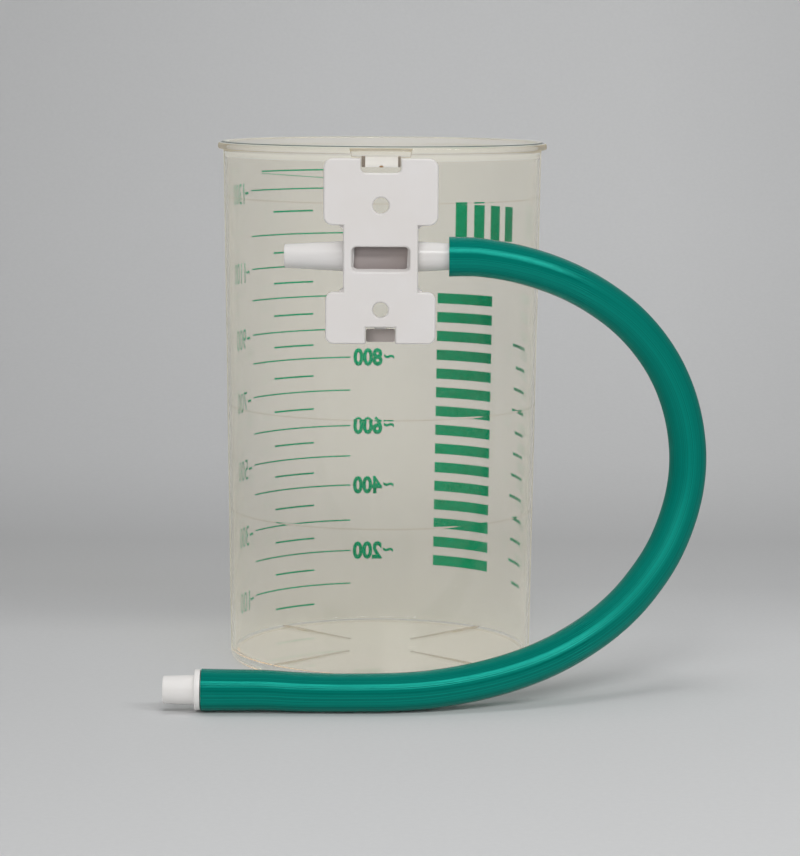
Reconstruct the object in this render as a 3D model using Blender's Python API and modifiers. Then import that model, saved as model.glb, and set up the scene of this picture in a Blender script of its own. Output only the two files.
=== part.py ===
# Suction canister: a clear open jar with a white mounting plate, a vacuum tee
# plugged into a rubber seal in the jar's wall, and a green vacuum hose that ends
# in a white tapered connector. Metres, +Z up. The origin is the centre of the
# jar's base, and the mounting plate faces -Y.
#
# Run it with: blender --background --python part.py

import math

import bmesh
import bpy
from mathutils import Matrix, Vector

# Shared clearances
GAP = 0.0003
OVERLAP = 0.0005
EDGE_SLIVER = 0.0001

# Jar
JAR_HEIGHT = 0.1820
JAR_BASE_RADIUS = 0.0529
JAR_TOP_RADIUS = 0.0554
JAR_TOP_WALL = 0.0013
WALL_STEP = 0.0002
WALL_STEP_RISE = 0.0006
WALL_STEP_HEIGHTS = (0.0535, 0.0904)
TOP_STEP_DROP = 0.0191
FLOOR_THICKNESS = 0.0028
FLOOR_FILLET = 0.0016
FOOT_ROUND = 0.0027
FLANGE_REACH = 0.0018
FLANGE_THICKNESS = 0.0022
FLANGE_DROP = 0.0004
FLANGE_ROUND = 0.0008
FLANGE_FILLET = 0.0009
LIP_WIDTH = 0.0017
LIP_CHAMFER = 0.0003
FLOOR_RIB_WIDTH = 0.0010
FLOOR_RIB_HEIGHT = 0.0010
FLOOR_RIB_INNER_RADIUS = 0.0155
FLOOR_RIB_COUNT = 4
JAR_SIDES = 72

# Plate that slides into a wall holder
PLATE_STANDOFF = 0.0141
PLATE_THICKNESS = 0.0025
PLATE_EDGE_ROUND = 0.0007
PLATE_DROP = 0.0036
UPPER_PAD_WIDTH = 0.0375
UPPER_PAD_HEIGHT = 0.0218
UPPER_PAD_CORNER = 0.0030
WAIST_WIDTH = 0.0246
WAIST_HEIGHT = 0.0219
LOWER_PAD_WIDTH = 0.0361
LOWER_PAD_HEIGHT = 0.0170
LOWER_PAD_CORNER = 0.0026
SMALL_CORNER = 0.0009
INSIDE_CORNER = 0.0006
UPPER_HOLE_RADIUS = 0.00275
UPPER_HOLE_DROP = 0.0148
LOWER_HOLE_RADIUS = 0.0026
LOWER_HOLE_DROP = 0.0490
TOP_NOTCH_WIDTH = 0.0127
TOP_NOTCH_DEPTH = 0.0050
TOP_NOTCH_CHAMFER = 0.0014
LATCH_NOTCH_WIDTH = 0.0098
LATCH_NOTCH_DEPTH = 0.0054
WINDOW_WIDTH = 0.0196
WINDOW_HEIGHT = 0.0095
WINDOW_DROP = 0.03325
WINDOW_CORNER = 0.0016
WINDOW_SILL_RISE = 0.0022

# Ribs behind the plate, which hold the tee against the jar, and the latch under it
RIB_THICKNESS = 0.0021
RIB_SPAN = 0.0242
RIB_DROP = 0.0064
RIB_HEIGHT = 0.0481
GUSSET_WIDTH = 0.0012
GUSSET_HEIGHT = 0.0018
GUSSET_DEPTH = 0.0055
LATCH_BAR_HEIGHT = 0.0021
LATCH_TONGUE_WIDTH = 0.0092
LATCH_TONGUE_HEIGHT = 0.0041
LATCH_TONGUE_CORNER = 0.0008
LATCH_NECK_WIDTH = 0.0036
LATCH_THICKNESS = 0.0015
LATCH_SETBACK = 0.0076

# Clear tab, lug and catch on the jar, which the plate snaps between
TAB_TOP_WIDTH = 0.0206
TAB_BOTTOM_WIDTH = 0.0190
LUG_DEPTH = 0.0030
LUG_HEIGHT = 0.0034
LUG_WALL = 0.0012
CATCH_WIDTH = 0.0042
CATCH_HEIGHT = 0.0034

# Tee
TEE_SETBACK = 0.0080
TEE_DROP = 0.0324
TEE_LENGTH = 0.0636
TEE_ROOT_RADIUS = 0.0050
TEE_TIP_RADIUS = 0.0039
TEE_TIP_ROUND = 0.0004
TEE_BORE_RADIUS = 0.0025
TEE_BLOCK_HEIGHT = 0.0140
TEE_BLOCK_STANDOFF = 0.0024
TEE_BLOCK_ROUND = 0.0006
POCKET_WALL = 0.0012
POCKET_WIDTH = 0.0173
POCKET_HEIGHT = 0.0086
POCKET_CORNER = 0.0012
SPIGOT_RADIUS = 0.0042
SPIGOT_BORE_RADIUS = 0.0025
SPIGOT_INSIDE = 0.0044
SPIGOT_CHAMFER = 0.0006

# Seal round the spigot, seated in the hole in the jar's wall
SEAL_WAIST_RADIUS = 0.0062
SEAL_FLANGE_RADIUS = 0.0082
SEAL_FLANGE_THICKNESS = 0.0012

# Hose
HOSE_RADIUS = 0.0063
HOSE_WALL = 0.0018
HOSE_RADIUS_ON_TEE = 0.0066
HOSE_RADIUS_ON_STEM = 0.0070
HOSE_STRETCH_FADE = 0.0060
HOSE_STEPS = 54
HOSE_ROUTE = (
    (0.0225, -0.0610, 0.1460),
    (0.0280, -0.0610, 0.1460),
    (0.0335, -0.0608, 0.1457),
    (0.0440, -0.0592, 0.1439),
    (0.0546, -0.0565, 0.1408),
    (0.0647, -0.0533, 0.1365),
    (0.0742, -0.0499, 0.1309),
    (0.0829, -0.0466, 0.1241),
    (0.0904, -0.0436, 0.1160),
    (0.0965, -0.0412, 0.1068),
    (0.1009, -0.0395, 0.0968),
    (0.1036, -0.0388, 0.0862),
    (0.1045, -0.0393, 0.0754),
    (0.1033, -0.0413, 0.0648),
    (0.1002, -0.0448, 0.0547),
    (0.0956, -0.0494, 0.0454),
    (0.0895, -0.0547, 0.0372),
    (0.0824, -0.0605, 0.0300),
    (0.0743, -0.0664, 0.0240),
    (0.0654, -0.0720, 0.0190),
    (0.0559, -0.0772, 0.0149),
    (0.0460, -0.0818, 0.0118),
    (0.0357, -0.0858, 0.0095),
    (0.0253, -0.0890, 0.0079),
    (0.0150, -0.0915, 0.0069),
    (0.0047, -0.0930, 0.0065),
    (-0.0057, -0.0936, 0.0064),
    (-0.0160, -0.0938, 0.0064),
    (-0.0265, -0.0938, 0.0066),
    (-0.0370, -0.0938, 0.0071),
    (-0.0475, -0.0938, 0.0071),
    (-0.0580, -0.0938, 0.0071),
)

# Connector in the hose's far end
STEM_RADIUS = 0.00475
STEM_LENGTH = 0.0203
COLLAR_RADIUS = 0.00665
COLLAR_THICKNESS = 0.0019
CONE_ROOT_RADIUS = 0.00485
CONE_TIP_RADIUS = 0.0045
CONE_LENGTH = 0.0110
CONNECTOR_BORE_RADIUS = 0.0027
CONNECTOR_ROUND = 0.0004

FACE_FRONT = {"X": Matrix.Rotation(math.pi / 2, 4, "Z") @ Matrix.Rotation(math.pi / 2, 4, "X"),
              "Y": Matrix.Rotation(math.pi / 2, 4, "X"),
              "Z": Matrix.Identity(4)}


def clear_scene():
    for obj in list(bpy.data.objects):
        bpy.data.objects.remove(obj, do_unlink=True)


def make_collection(name):
    collection = bpy.data.collections.new(name)
    bpy.context.scene.collection.children.link(collection)
    return collection


def plastic(name, color, roughness, alpha=1.0):
    material = bpy.data.materials.new(name)
    material.use_nodes = True
    shader = material.node_tree.nodes["Principled BSDF"]
    shader.inputs["Base Color"].default_value = (*color, 1.0)
    shader.inputs["Roughness"].default_value = roughness
    shader.inputs["Metallic"].default_value = 0.0
    shader.inputs["Alpha"].default_value = alpha
    return material


def finish(obj, material):
    """Put a finished piece in the object's collection, with its material."""
    parts.objects.link(obj)
    obj.data.materials.clear()
    obj.data.materials.append(material)
    if obj.type == "MESH":
        obj.data.shade_smooth()
        obj.data.set_sharp_from_angle(angle=math.radians(30))
    return obj


def helper(obj):
    """Put a cutter or a shape that is joined to a piece among the helpers."""
    helpers.objects.link(obj)
    obj.hide_render = True
    obj.display_type = "WIRE"
    return obj


def combine(target, other, operation):
    modifier = target.modifiers.new(other.name, "BOOLEAN")
    modifier.operation = operation
    modifier.object = other
    modifier.solver = "EXACT"


def join(target, *others):
    for other in others:
        combine(target, helper(other), "UNION")


def cut(target, *others):
    for other in others:
        combine(target, helper(other), "DIFFERENCE")


def box(name, low, high):
    mesh = bpy.data.meshes.new(name)
    shape = bmesh.new()
    bmesh.ops.create_cube(shape, size=1.0)
    low, high = Vector(low), Vector(high)
    bmesh.ops.scale(shape, vec=high - low, verts=shape.verts)
    bmesh.ops.translate(shape, vec=(low + high) / 2, verts=shape.verts)
    shape.to_mesh(mesh)
    shape.free()
    return bpy.data.objects.new(name, mesh)


def turned(name, profile, sides, placement=None):
    """Turn a profile of (radius, height) points, which runs down its outer side, about Z."""
    mesh = bpy.data.meshes.new(name)
    shape = bmesh.new()
    corners = [shape.verts.new((radius, 0.0, height)) for radius, height in profile]
    if profile[0] == profile[-1]:
        shape.verts.remove(corners[-1])
        corners[-1] = corners[0]
    for first, second in zip(corners, corners[1:]):
        shape.edges.new((first, second))
    shape.to_mesh(mesh)
    shape.free()
    obj = bpy.data.objects.new(name, mesh)
    screw = obj.modifiers.new("turn", "SCREW")
    screw.steps = sides
    screw.render_steps = sides
    screw.use_merge_vertices = True
    screw.merge_threshold = 0.000001
    if placement:
        obj.matrix_world = placement
    return obj


def along_y(x, height):
    """A placement that lays a turned piece's axis along -Y, through (x, height)."""
    return Matrix.Translation((x, 0.0, height)) @ Matrix.Rotation(math.pi / 2, 4, "X")


def along_x(forward, height):
    """A placement that lays a turned piece's axis along +X."""
    return Matrix.Translation((0.0, -forward, height)) @ Matrix.Rotation(math.pi / 2, 4, "Y")


def extruded(name, loops, start, end, axis, edge_round=0.0):
    """Extrude a flat outline with its holes. Along Y it is drawn in (x, z) and start and end
    count towards -Y. Along X it is drawn in (y, z), and along Z in (x, y)."""
    curve = bpy.data.curves.new(name, "CURVE")
    curve.dimensions = "2D"
    curve.fill_mode = "BOTH"
    curve.extrude = abs(end - start) / 2 - edge_round
    curve.bevel_depth = edge_round
    curve.bevel_resolution = 1
    curve.offset = -edge_round
    for index, loop in enumerate(loops):
        if (signed_area(loop) > 0.0) == (index > 0):
            loop = loop[::-1]
        spline = curve.splines.new("POLY")
        spline.points.add(len(loop) - 1)
        for point, (across, up) in zip(spline.points, loop):
            point.co = (across, up, 0.0, 1.0)
        spline.use_cyclic_u = True
    flat = bpy.data.objects.new("flat_outline", curve)
    bpy.context.scene.collection.objects.link(flat)
    flat.matrix_world = FACE_FRONT[axis] @ Matrix.Translation((0.0, 0.0, (start + end) / 2))
    bpy.context.view_layer.update()
    graph = bpy.context.evaluated_depsgraph_get()
    mesh = bpy.data.meshes.new_from_object(flat.evaluated_get(graph))
    shape = bmesh.new()
    shape.from_mesh(mesh)
    bmesh.ops.remove_doubles(shape, verts=shape.verts, dist=0.000001)
    half = abs(end - start) / 2
    caps = [face for face in shape.faces if all(abs(abs(v.co.z) - half) < 0.0000001 for v in face.verts)]
    inner = [edge for edge in shape.edges if all(face in caps for face in edge.link_faces)]
    bmesh.ops.beautify_fill(shape, faces=caps, edges=inner, method="ANGLE")
    shape.to_mesh(mesh)
    shape.free()
    obj = bpy.data.objects.new(name, mesh)
    obj.matrix_world = flat.matrix_world
    bpy.data.objects.remove(flat, do_unlink=True)
    return obj


def signed_area(loop):
    """Positive for an outline that runs anticlockwise."""
    pairs = zip(loop, loop[1:] + loop[:1])
    return sum(a[0] * b[1] - b[0] * a[1] for a, b in pairs) / 2


def rounded(corners, steps=4):
    """An outline whose corners, given as (across, up, radius), are arcs."""
    outline = []
    for index, (across, up, radius) in enumerate(corners):
        here = Vector((across, up))
        if radius == 0.0:
            outline.append(tuple(here))
            continue
        back = (Vector(corners[index - 1][:2]) - here).normalized()
        ahead = (Vector(corners[(index + 1) % len(corners)][:2]) - here).normalized()
        half = back.angle(ahead) / 2
        centre = here + (back + ahead).normalized() * radius / math.sin(half)
        first = here + back * radius / math.tan(half) - centre
        last = here + ahead * radius / math.tan(half) - centre
        start = math.atan2(first.y, first.x)
        sweep = (math.atan2(last.y, last.x) - start + math.pi) % math.tau - math.pi
        for step in range(steps + 1):
            angle = start + sweep * step / steps
            outline.append((centre.x + radius * math.cos(angle), centre.y + radius * math.sin(angle)))
    return outline


def rectangle(width, bottom, top, corner):
    half = width / 2
    return rounded([(half, bottom, corner), (half, top, corner), (-half, top, corner), (-half, bottom, corner)])


def circle(radius, height, sides=24):
    return [
        (radius * math.cos(math.tau * step / sides), height + radius * math.sin(math.tau * step / sides))
        for step in range(sides)
    ]


def mirrored(right_half):
    """Close an outline from its right half, which runs from top to bottom."""
    return right_half + [(-across, up, radius) for across, up, radius in reversed(right_half)]


def wall_radius(height):
    """Outer radius of the jar's drafted wall at a height."""
    return JAR_BASE_RADIUS + (JAR_TOP_RADIUS - JAR_BASE_RADIUS) * height / JAR_HEIGHT


def wall_thickness(height):
    """The wall is thinnest above its top step, and each step below adds a little."""
    return JAR_TOP_WALL + WALL_STEP * sum(height < step for step in step_heights())


def bore_radius(height):
    return wall_radius(height) - wall_thickness(height)


def step_heights():
    """The heights of the three shallow rings inside the wall, lowest first."""
    return (*WALL_STEP_HEIGHTS, JAR_HEIGHT - TOP_STEP_DROP)


def flange_radius():
    return JAR_TOP_RADIUS + FLANGE_REACH


def plate_top():
    return JAR_HEIGHT - PLATE_DROP


def upper_pad_bottom():
    return plate_top() - UPPER_PAD_HEIGHT


def lower_pad_top():
    return upper_pad_bottom() - WAIST_HEIGHT


def plate_bottom():
    return lower_pad_top() - LOWER_PAD_HEIGHT


def window_centre():
    return plate_top() - WINDOW_DROP


def rib_top():
    return plate_top() - RIB_DROP


def rib_bottom():
    return rib_top() - RIB_HEIGHT


def tee_height():
    return plate_top() - TEE_DROP


def plate_front():
    """How far in front of the jar's axis the plate's face lies."""
    return wall_radius(tee_height()) + PLATE_STANDOFF


def latch_front():
    return plate_front() - LATCH_SETBACK


def tee_forward():
    return plate_front() - TEE_SETBACK


def block_back():
    return wall_radius(tee_height()) + TEE_BLOCK_STANDOFF


def spigot_reach():
    return bore_radius(tee_height()) - SPIGOT_INSIDE


def jar_profile():
    """From the floor's centre, up the inside, over the rim and down the outside."""
    profile = [(0.0, FLOOR_THICKNESS)]
    fillet_top = FLOOR_THICKNESS + FLOOR_FILLET
    for step in range(4):
        angle = math.pi / 2 * step / 3
        profile.append((
            bore_radius(fillet_top) - FLOOR_FILLET * (1 - math.sin(angle)),
            fillet_top - FLOOR_FILLET * math.cos(angle),
        ))
    for height in step_heights():
        above = height + WALL_STEP_RISE
        profile.append((wall_radius(height) - wall_thickness(height) - WALL_STEP, height))
        profile.append((bore_radius(above), above))
    inside = bore_radius(JAR_HEIGHT)
    profile.append((inside, JAR_HEIGHT - LIP_CHAMFER))
    profile.append((inside + LIP_CHAMFER, JAR_HEIGHT))
    profile.append((inside + LIP_WIDTH, JAR_HEIGHT))
    flange_top = JAR_HEIGHT - FLANGE_DROP
    profile.append((inside + LIP_WIDTH + FLANGE_DROP, flange_top))
    for step in range(3):
        angle = math.pi / 2 * step / 2
        profile.append((
            flange_radius() - FLANGE_ROUND * (1 - math.sin(angle)),
            flange_top - FLANGE_ROUND * (1 - math.cos(angle)),
        ))
    profile.append((flange_radius(), flange_bottom() + FLANGE_ROUND / 2))
    profile.append((flange_radius() - FLANGE_ROUND / 2, flange_bottom()))
    below = flange_bottom() - FLANGE_FILLET
    profile.append((wall_radius(below) + FLANGE_FILLET, flange_bottom()))
    profile.append((wall_radius(below), below))
    for step in range(4):
        angle = math.pi / 2 * step / 3
        profile.append((
            wall_radius(FOOT_ROUND) - FOOT_ROUND * (1 - math.cos(angle)),
            FOOT_ROUND * (1 - math.sin(angle)),
        ))
    profile.append((0.0, 0.0))
    return profile


def flange_bottom():
    return JAR_HEIGHT - FLANGE_DROP - FLANGE_THICKNESS


def floor_rib(index):
    """One of the crossed ribs on the jar's floor, from the bare middle out into the wall."""
    outer = bore_radius(FLOOR_THICKNESS) + OVERLAP
    rib = box(
        f"floor_rib_{index}",
        (FLOOR_RIB_INNER_RADIUS, -FLOOR_RIB_WIDTH / 2, FLOOR_THICKNESS - OVERLAP),
        (outer, FLOOR_RIB_WIDTH / 2, FLOOR_THICKNESS + FLOOR_RIB_HEIGHT),
    )
    turn = math.tau * (index + 0.5) / FLOOR_RIB_COUNT
    rib.matrix_world = Matrix.Rotation(turn, 4, "Z")
    return rib


def hanging_tab():
    """The clear tab that reaches forward from the rim, over the plate's top edge."""
    bottom = plate_top() + GAP
    top = JAR_HEIGHT - FLANGE_DROP - GAP
    outline = [
        (TAB_BOTTOM_WIDTH / 2, bottom),
        (TAB_TOP_WIDTH / 2, top),
        (-TAB_TOP_WIDTH / 2, top),
        (-TAB_BOTTOM_WIDTH / 2, bottom),
    ]
    return extruded("hanging_tab", [outline], JAR_TOP_RADIUS - OVERLAP, lug_front(), "Y")


def lug_front():
    return plate_front() - GAP


def hanging_lug():
    """The hollow lug that drops from the tab into the plate's top notch."""
    half = TOP_NOTCH_WIDTH / 2 - GAP
    top = plate_top() + GAP + OVERLAP
    bottom = plate_top() - LUG_HEIGHT + GAP
    front = -lug_front()
    lug = box("hanging_lug", (-half, front, bottom), (half, front + LUG_DEPTH, top))
    core = box(
        "hanging_lug_core",
        (-half + LUG_WALL, front + LUG_WALL, bottom - OVERLAP),
        (half - LUG_WALL, front + LUG_DEPTH + OVERLAP, plate_top() + GAP),
    )
    cut(lug, core)
    return lug


def lower_catch():
    """The small clear wedge on the jar's wall that the plate's tongue snaps under."""
    top = rib_bottom() - GAP
    bottom = top - CATCH_HEIGHT
    inner = -(wall_radius(bottom) - OVERLAP)
    outer = -(latch_front() - LATCH_THICKNESS - GAP)
    outline = [(inner, bottom), (inner, top), (outer, top), (outer, top - CATCH_HEIGHT / 3)]
    return extruded("lower_catch", [outline], -CATCH_WIDTH / 2, CATCH_WIDTH / 2, "X")


def port_cutter():
    radius = SEAL_WAIST_RADIUS + GAP
    reach = (spigot_reach(), block_back())
    return turned("port_cutter", rod(radius, *reach), 32, along_y(0.0, tee_height()))


def rod(radius, start, end):
    """Profile of a plain round rod between two heights."""
    return [(0.0, end), (radius, end), (radius, start), (0.0, start)]


def build_jar(material):
    jar = turned("canister_jar", jar_profile(), JAR_SIDES)
    join(jar, hanging_tab(), hanging_lug(), lower_catch())
    join(jar, *[floor_rib(index) for index in range(FLOOR_RIB_COUNT)])
    cut(jar, port_cutter())
    return finish(jar, material)


def plate_outline():
    half = TOP_NOTCH_WIDTH / 2
    notch_bottom = plate_top() - TOP_NOTCH_DEPTH
    right = [
        (half - TOP_NOTCH_CHAMFER, notch_bottom, INSIDE_CORNER),
        (half, notch_bottom + TOP_NOTCH_CHAMFER, INSIDE_CORNER),
        (half, plate_top(), SMALL_CORNER),
        (UPPER_PAD_WIDTH / 2, plate_top(), UPPER_PAD_CORNER),
        (UPPER_PAD_WIDTH / 2, upper_pad_bottom(), UPPER_PAD_CORNER),
        (WAIST_WIDTH / 2, upper_pad_bottom(), INSIDE_CORNER),
        (WAIST_WIDTH / 2, lower_pad_top(), INSIDE_CORNER),
        (LOWER_PAD_WIDTH / 2, lower_pad_top(), LOWER_PAD_CORNER),
        (LOWER_PAD_WIDTH / 2, plate_bottom(), LOWER_PAD_CORNER),
        (LATCH_NOTCH_WIDTH / 2, plate_bottom(), SMALL_CORNER),
        (LATCH_NOTCH_WIDTH / 2, plate_bottom() + LATCH_NOTCH_DEPTH, INSIDE_CORNER),
    ]
    return rounded(mirrored(right))


def window_outline():
    bottom = window_centre() - WINDOW_HEIGHT / 2
    top = bottom + WINDOW_HEIGHT
    return rectangle(WINDOW_WIDTH, bottom + WINDOW_SILL_RISE, top, WINDOW_CORNER)


def window_sill():
    """The cutter that slopes the window's lower edge down to the plate's face."""
    bottom = window_centre() - WINDOW_HEIGHT / 2
    front = -plate_front() - OVERLAP
    back = -plate_front() + PLATE_THICKNESS + OVERLAP
    outline = [
        (front, bottom),
        (front, window_centre()),
        (back, window_centre()),
        (back, bottom + WINDOW_SILL_RISE + OVERLAP),
    ]
    half = WINDOW_WIDTH / 2 - EDGE_SLIVER
    return extruded("window_sill", [outline], -half, half, "X")


def rear_rib(name, side):
    """One of the two upright ribs that reach back from the waist to the jar."""
    inner, outer = sorted((side * (RIB_SPAN / 2 - RIB_THICKNESS), side * RIB_SPAN / 2))
    front, back = plate_front() - PLATE_THICKNESS / 2, wall_radius(rib_bottom()) - RIB_SPAN / 8
    return box(name, (inner, -front, rib_bottom()), (outer, -back, rib_top()))


def latch_bar():
    """The bar between the plate and the jar that carries the tongue and rests on the catch."""
    half = LATCH_TONGUE_WIDTH / 2
    front, back = plate_front() - PLATE_THICKNESS / 2, wall_radius(rib_bottom()) - OVERLAP
    return box("latch_bar", (-half, -front, rib_bottom()), (half, -back, rib_bottom() + LATCH_BAR_HEIGHT))


def gusset(name, side, pad_edge, direction):
    """A small web in the corner between a rib and the back of a pad."""
    inner = side * (RIB_SPAN / 2 - OVERLAP)
    outer = side * (WAIST_WIDTH / 2 + GUSSET_WIDTH)
    outline = [
        (inner, pad_edge - direction * 2 * OVERLAP),
        (outer, pad_edge - direction * 2 * OVERLAP),
        (outer, pad_edge + direction * GAP),
        (inner, pad_edge + direction * GUSSET_HEIGHT),
    ]
    back = plate_front() - PLATE_THICKNESS
    return extruded(name, [outline], back - GUSSET_DEPTH, back + PLATE_EDGE_ROUND + OVERLAP, "Y")


def latch_tongue():
    """The springy tongue under the bar, hung on a narrow neck."""
    bottom = plate_bottom()
    shoulder = bottom + LATCH_TONGUE_HEIGHT
    right = [
        (LATCH_NECK_WIDTH / 2, rib_bottom() + OVERLAP, 0.0),
        (LATCH_NECK_WIDTH / 2, shoulder, 0.0),
        (LATCH_TONGUE_WIDTH / 2, shoulder, LATCH_TONGUE_CORNER),
        (LATCH_TONGUE_WIDTH / 2, bottom, 0.0),
    ]
    return extruded(
        "latch_tongue", [rounded(mirrored(right))], latch_front() - LATCH_THICKNESS, latch_front(), "Y"
    )


def arm_slot():
    """The slot through both ribs that lets the tee's arms in from behind."""
    radius = TEE_ROOT_RADIUS + GAP
    centre = -tee_forward()
    outline = [(-JAR_TOP_RADIUS + WAIST_WIDTH, tee_height() - radius)]
    for step in range(13):
        angle = -math.pi / 2 - math.pi * step / 12
        outline.append((centre + radius * math.cos(angle), tee_height() + radius * math.sin(angle)))
    outline.append((-JAR_TOP_RADIUS + WAIST_WIDTH, tee_height() + radius))
    return extruded("arm_slot", [outline], -WAIST_WIDTH, WAIST_WIDTH, "X")


def jar_clearance(name):
    """The jar's outside, a gap larger all round, for cutting what seats against it."""
    bottom, top = plate_bottom() - WAIST_WIDTH, flange_bottom()
    profile = [
        (0.0, top),
        (wall_radius(top) + GAP, top),
        (wall_radius(bottom) + GAP, bottom),
        (0.0, bottom),
    ]
    return turned(name, profile, JAR_SIDES)


def build_plate(material):
    holes = [
        circle(UPPER_HOLE_RADIUS, plate_top() - UPPER_HOLE_DROP),
        circle(LOWER_HOLE_RADIUS, plate_top() - LOWER_HOLE_DROP),
        window_outline(),
    ]
    plate = extruded(
        "mounting_plate", [plate_outline(), *holes],
        plate_front() - PLATE_THICKNESS, plate_front(), "Y", PLATE_EDGE_ROUND,
    )
    join(plate, latch_bar(), latch_tongue())
    for side, name in ((-1, "left"), (1, "right")):
        join(plate, rear_rib(f"rear_rib_{name}", side))
        join(plate, gusset(f"upper_gusset_{name}", side, upper_pad_bottom(), -1))
        join(plate, gusset(f"lower_gusset_{name}", side, lower_pad_top(), 1))
    cut(plate, window_sill(), arm_slot(), jar_clearance("plate_saddle"))
    return finish(plate, material)


def arm_profile():
    """Outside of the tee's run: straight behind the plate, tapered along both arms."""
    half = TEE_LENGTH / 2
    shoulder = WAIST_WIDTH / 2
    inside_block = RIB_SPAN / 2 - RIB_THICKNESS - 2 * GAP
    core = TEE_BORE_RADIUS + POCKET_WALL - GAP
    return [
        (0.0, half),
        (TEE_TIP_RADIUS - TEE_TIP_ROUND, half),
        (TEE_TIP_RADIUS, half - TEE_TIP_ROUND),
        (TEE_ROOT_RADIUS, shoulder),
        (TEE_ROOT_RADIUS, inside_block),
        (core, inside_block),
        (core, -inside_block),
        (TEE_ROOT_RADIUS, -inside_block),
        (TEE_ROOT_RADIUS, -shoulder),
        (TEE_TIP_RADIUS, -half + TEE_TIP_ROUND),
        (TEE_TIP_RADIUS - TEE_TIP_ROUND, -half),
        (0.0, -half),
    ]


def tee_block():
    """The square body that sits between the plate's ribs."""
    front = plate_front() - PLATE_THICKNESS - GAP
    width = RIB_SPAN - 2 * RIB_THICKNESS - 2 * GAP
    bottom = tee_height() - TEE_BLOCK_HEIGHT / 2
    outline = rectangle(width, bottom, bottom + TEE_BLOCK_HEIGHT, 0.0)
    return extruded("tee_block", [outline], block_back(), front, "Y", TEE_BLOCK_ROUND)


def tee_pocket():
    """The core that thins the block in front of the bore."""
    floor = tee_forward() + TEE_BORE_RADIUS + POCKET_WALL
    bottom = window_centre() - POCKET_HEIGHT / 2
    outline = rectangle(POCKET_WIDTH, bottom, bottom + POCKET_HEIGHT, POCKET_CORNER)
    return extruded("tee_pocket", [outline], floor, plate_front(), "Y")


def build_tee(material):
    tee = turned("vacuum_tee", arm_profile(), 32, along_x(tee_forward(), tee_height()))
    spigot = [
        (0.0, tee_forward()),
        (SPIGOT_RADIUS, tee_forward()),
        (SPIGOT_RADIUS, spigot_reach() + SPIGOT_CHAMFER),
        (SPIGOT_RADIUS - SPIGOT_CHAMFER, spigot_reach()),
        (0.0, spigot_reach()),
    ]
    join(tee, tee_block(), turned("spigot", spigot, 32, along_y(0.0, tee_height())))
    run = rod(TEE_BORE_RADIUS, -TEE_LENGTH, TEE_LENGTH)
    branch = rod(SPIGOT_BORE_RADIUS, spigot_reach() - OVERLAP, tee_forward())
    cut(
        tee,
        tee_pocket(),
        turned("run_bore", run, 24, along_x(tee_forward(), tee_height())),
        turned("spigot_bore", branch, 24, along_y(0.0, tee_height())),
    )
    return finish(tee, material)


def wall_groove():
    """The jar's wall with a gap on both faces, less the port that the seal's waist fills."""
    low = tee_height() - 2 * SEAL_FLANGE_RADIUS
    high = tee_height() + 2 * SEAL_FLANGE_RADIUS
    profile = [
        (wall_radius(high) - wall_thickness(tee_height()) - GAP, high),
        (wall_radius(high) + GAP, high),
        (wall_radius(low) + GAP, low),
        (wall_radius(low) - wall_thickness(tee_height()) - GAP, low),
        (wall_radius(high) - wall_thickness(tee_height()) - GAP, high),
    ]
    groove = turned("wall_groove", profile, JAR_SIDES)
    waist = rod(SEAL_WAIST_RADIUS, spigot_reach() - SPIGOT_RADIUS, block_back() + SPIGOT_RADIUS)
    cut(groove, turned("seal_waist", waist, 32, along_y(0.0, tee_height())))
    return groove


def build_seal(material):
    outer = block_back() - GAP
    sag = wall_radius(tee_height()) - math.sqrt(wall_radius(tee_height()) ** 2 - SEAL_FLANGE_RADIUS ** 2)
    inner = bore_radius(tee_height()) - sag - GAP - SEAL_FLANGE_THICKNESS
    bore = SPIGOT_RADIUS + GAP
    profile = [(bore, outer), (SEAL_FLANGE_RADIUS, outer), (SEAL_FLANGE_RADIUS, inner), (bore, inner), (bore, outer)]
    seal = turned("port_seal", profile, 32, along_y(0.0, tee_height()))
    cut(seal, wall_groove())
    return finish(seal, material)


def smooth_point(route, position):
    """A point on the smooth curve through the route, position counting in route points."""
    index = min(int(position), len(route) - 2)
    t = position - index
    at = [Vector(route[min(max(index + shift, 0), len(route) - 1)]) for shift in (-1, 0, 1, 2)]
    return 0.5 * (
        2 * at[1]
        + (at[2] - at[0]) * t
        + (2 * at[0] - 5 * at[1] + 4 * at[2] - at[3]) * t ** 2
        + (3 * at[1] - at[0] - 3 * at[2] + at[3]) * t ** 3
    )


def hose_radius(point):
    """The hose is stretched where the tee's arm and the connector's stem are inside it."""
    start, end = HOSE_ROUTE[0][0], HOSE_ROUTE[-1][0]
    radius = HOSE_RADIUS
    if point.z > tee_height() / 2 and point.x < TEE_LENGTH / 2 + HOSE_STRETCH_FADE:
        share = (point.x - start) / (TEE_LENGTH / 2 + HOSE_STRETCH_FADE - start)
        radius += (HOSE_RADIUS_ON_TEE - HOSE_RADIUS) * (1 - share)
    stem_end = end + STEM_LENGTH + GAP
    if point.z < tee_height() / 2:
        share = min(max((stem_end + HOSE_STRETCH_FADE - point.x) / HOSE_STRETCH_FADE, 0.0), 1.0)
        radius += (HOSE_RADIUS_ON_STEM - HOSE_RADIUS) * share
    return radius


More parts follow.
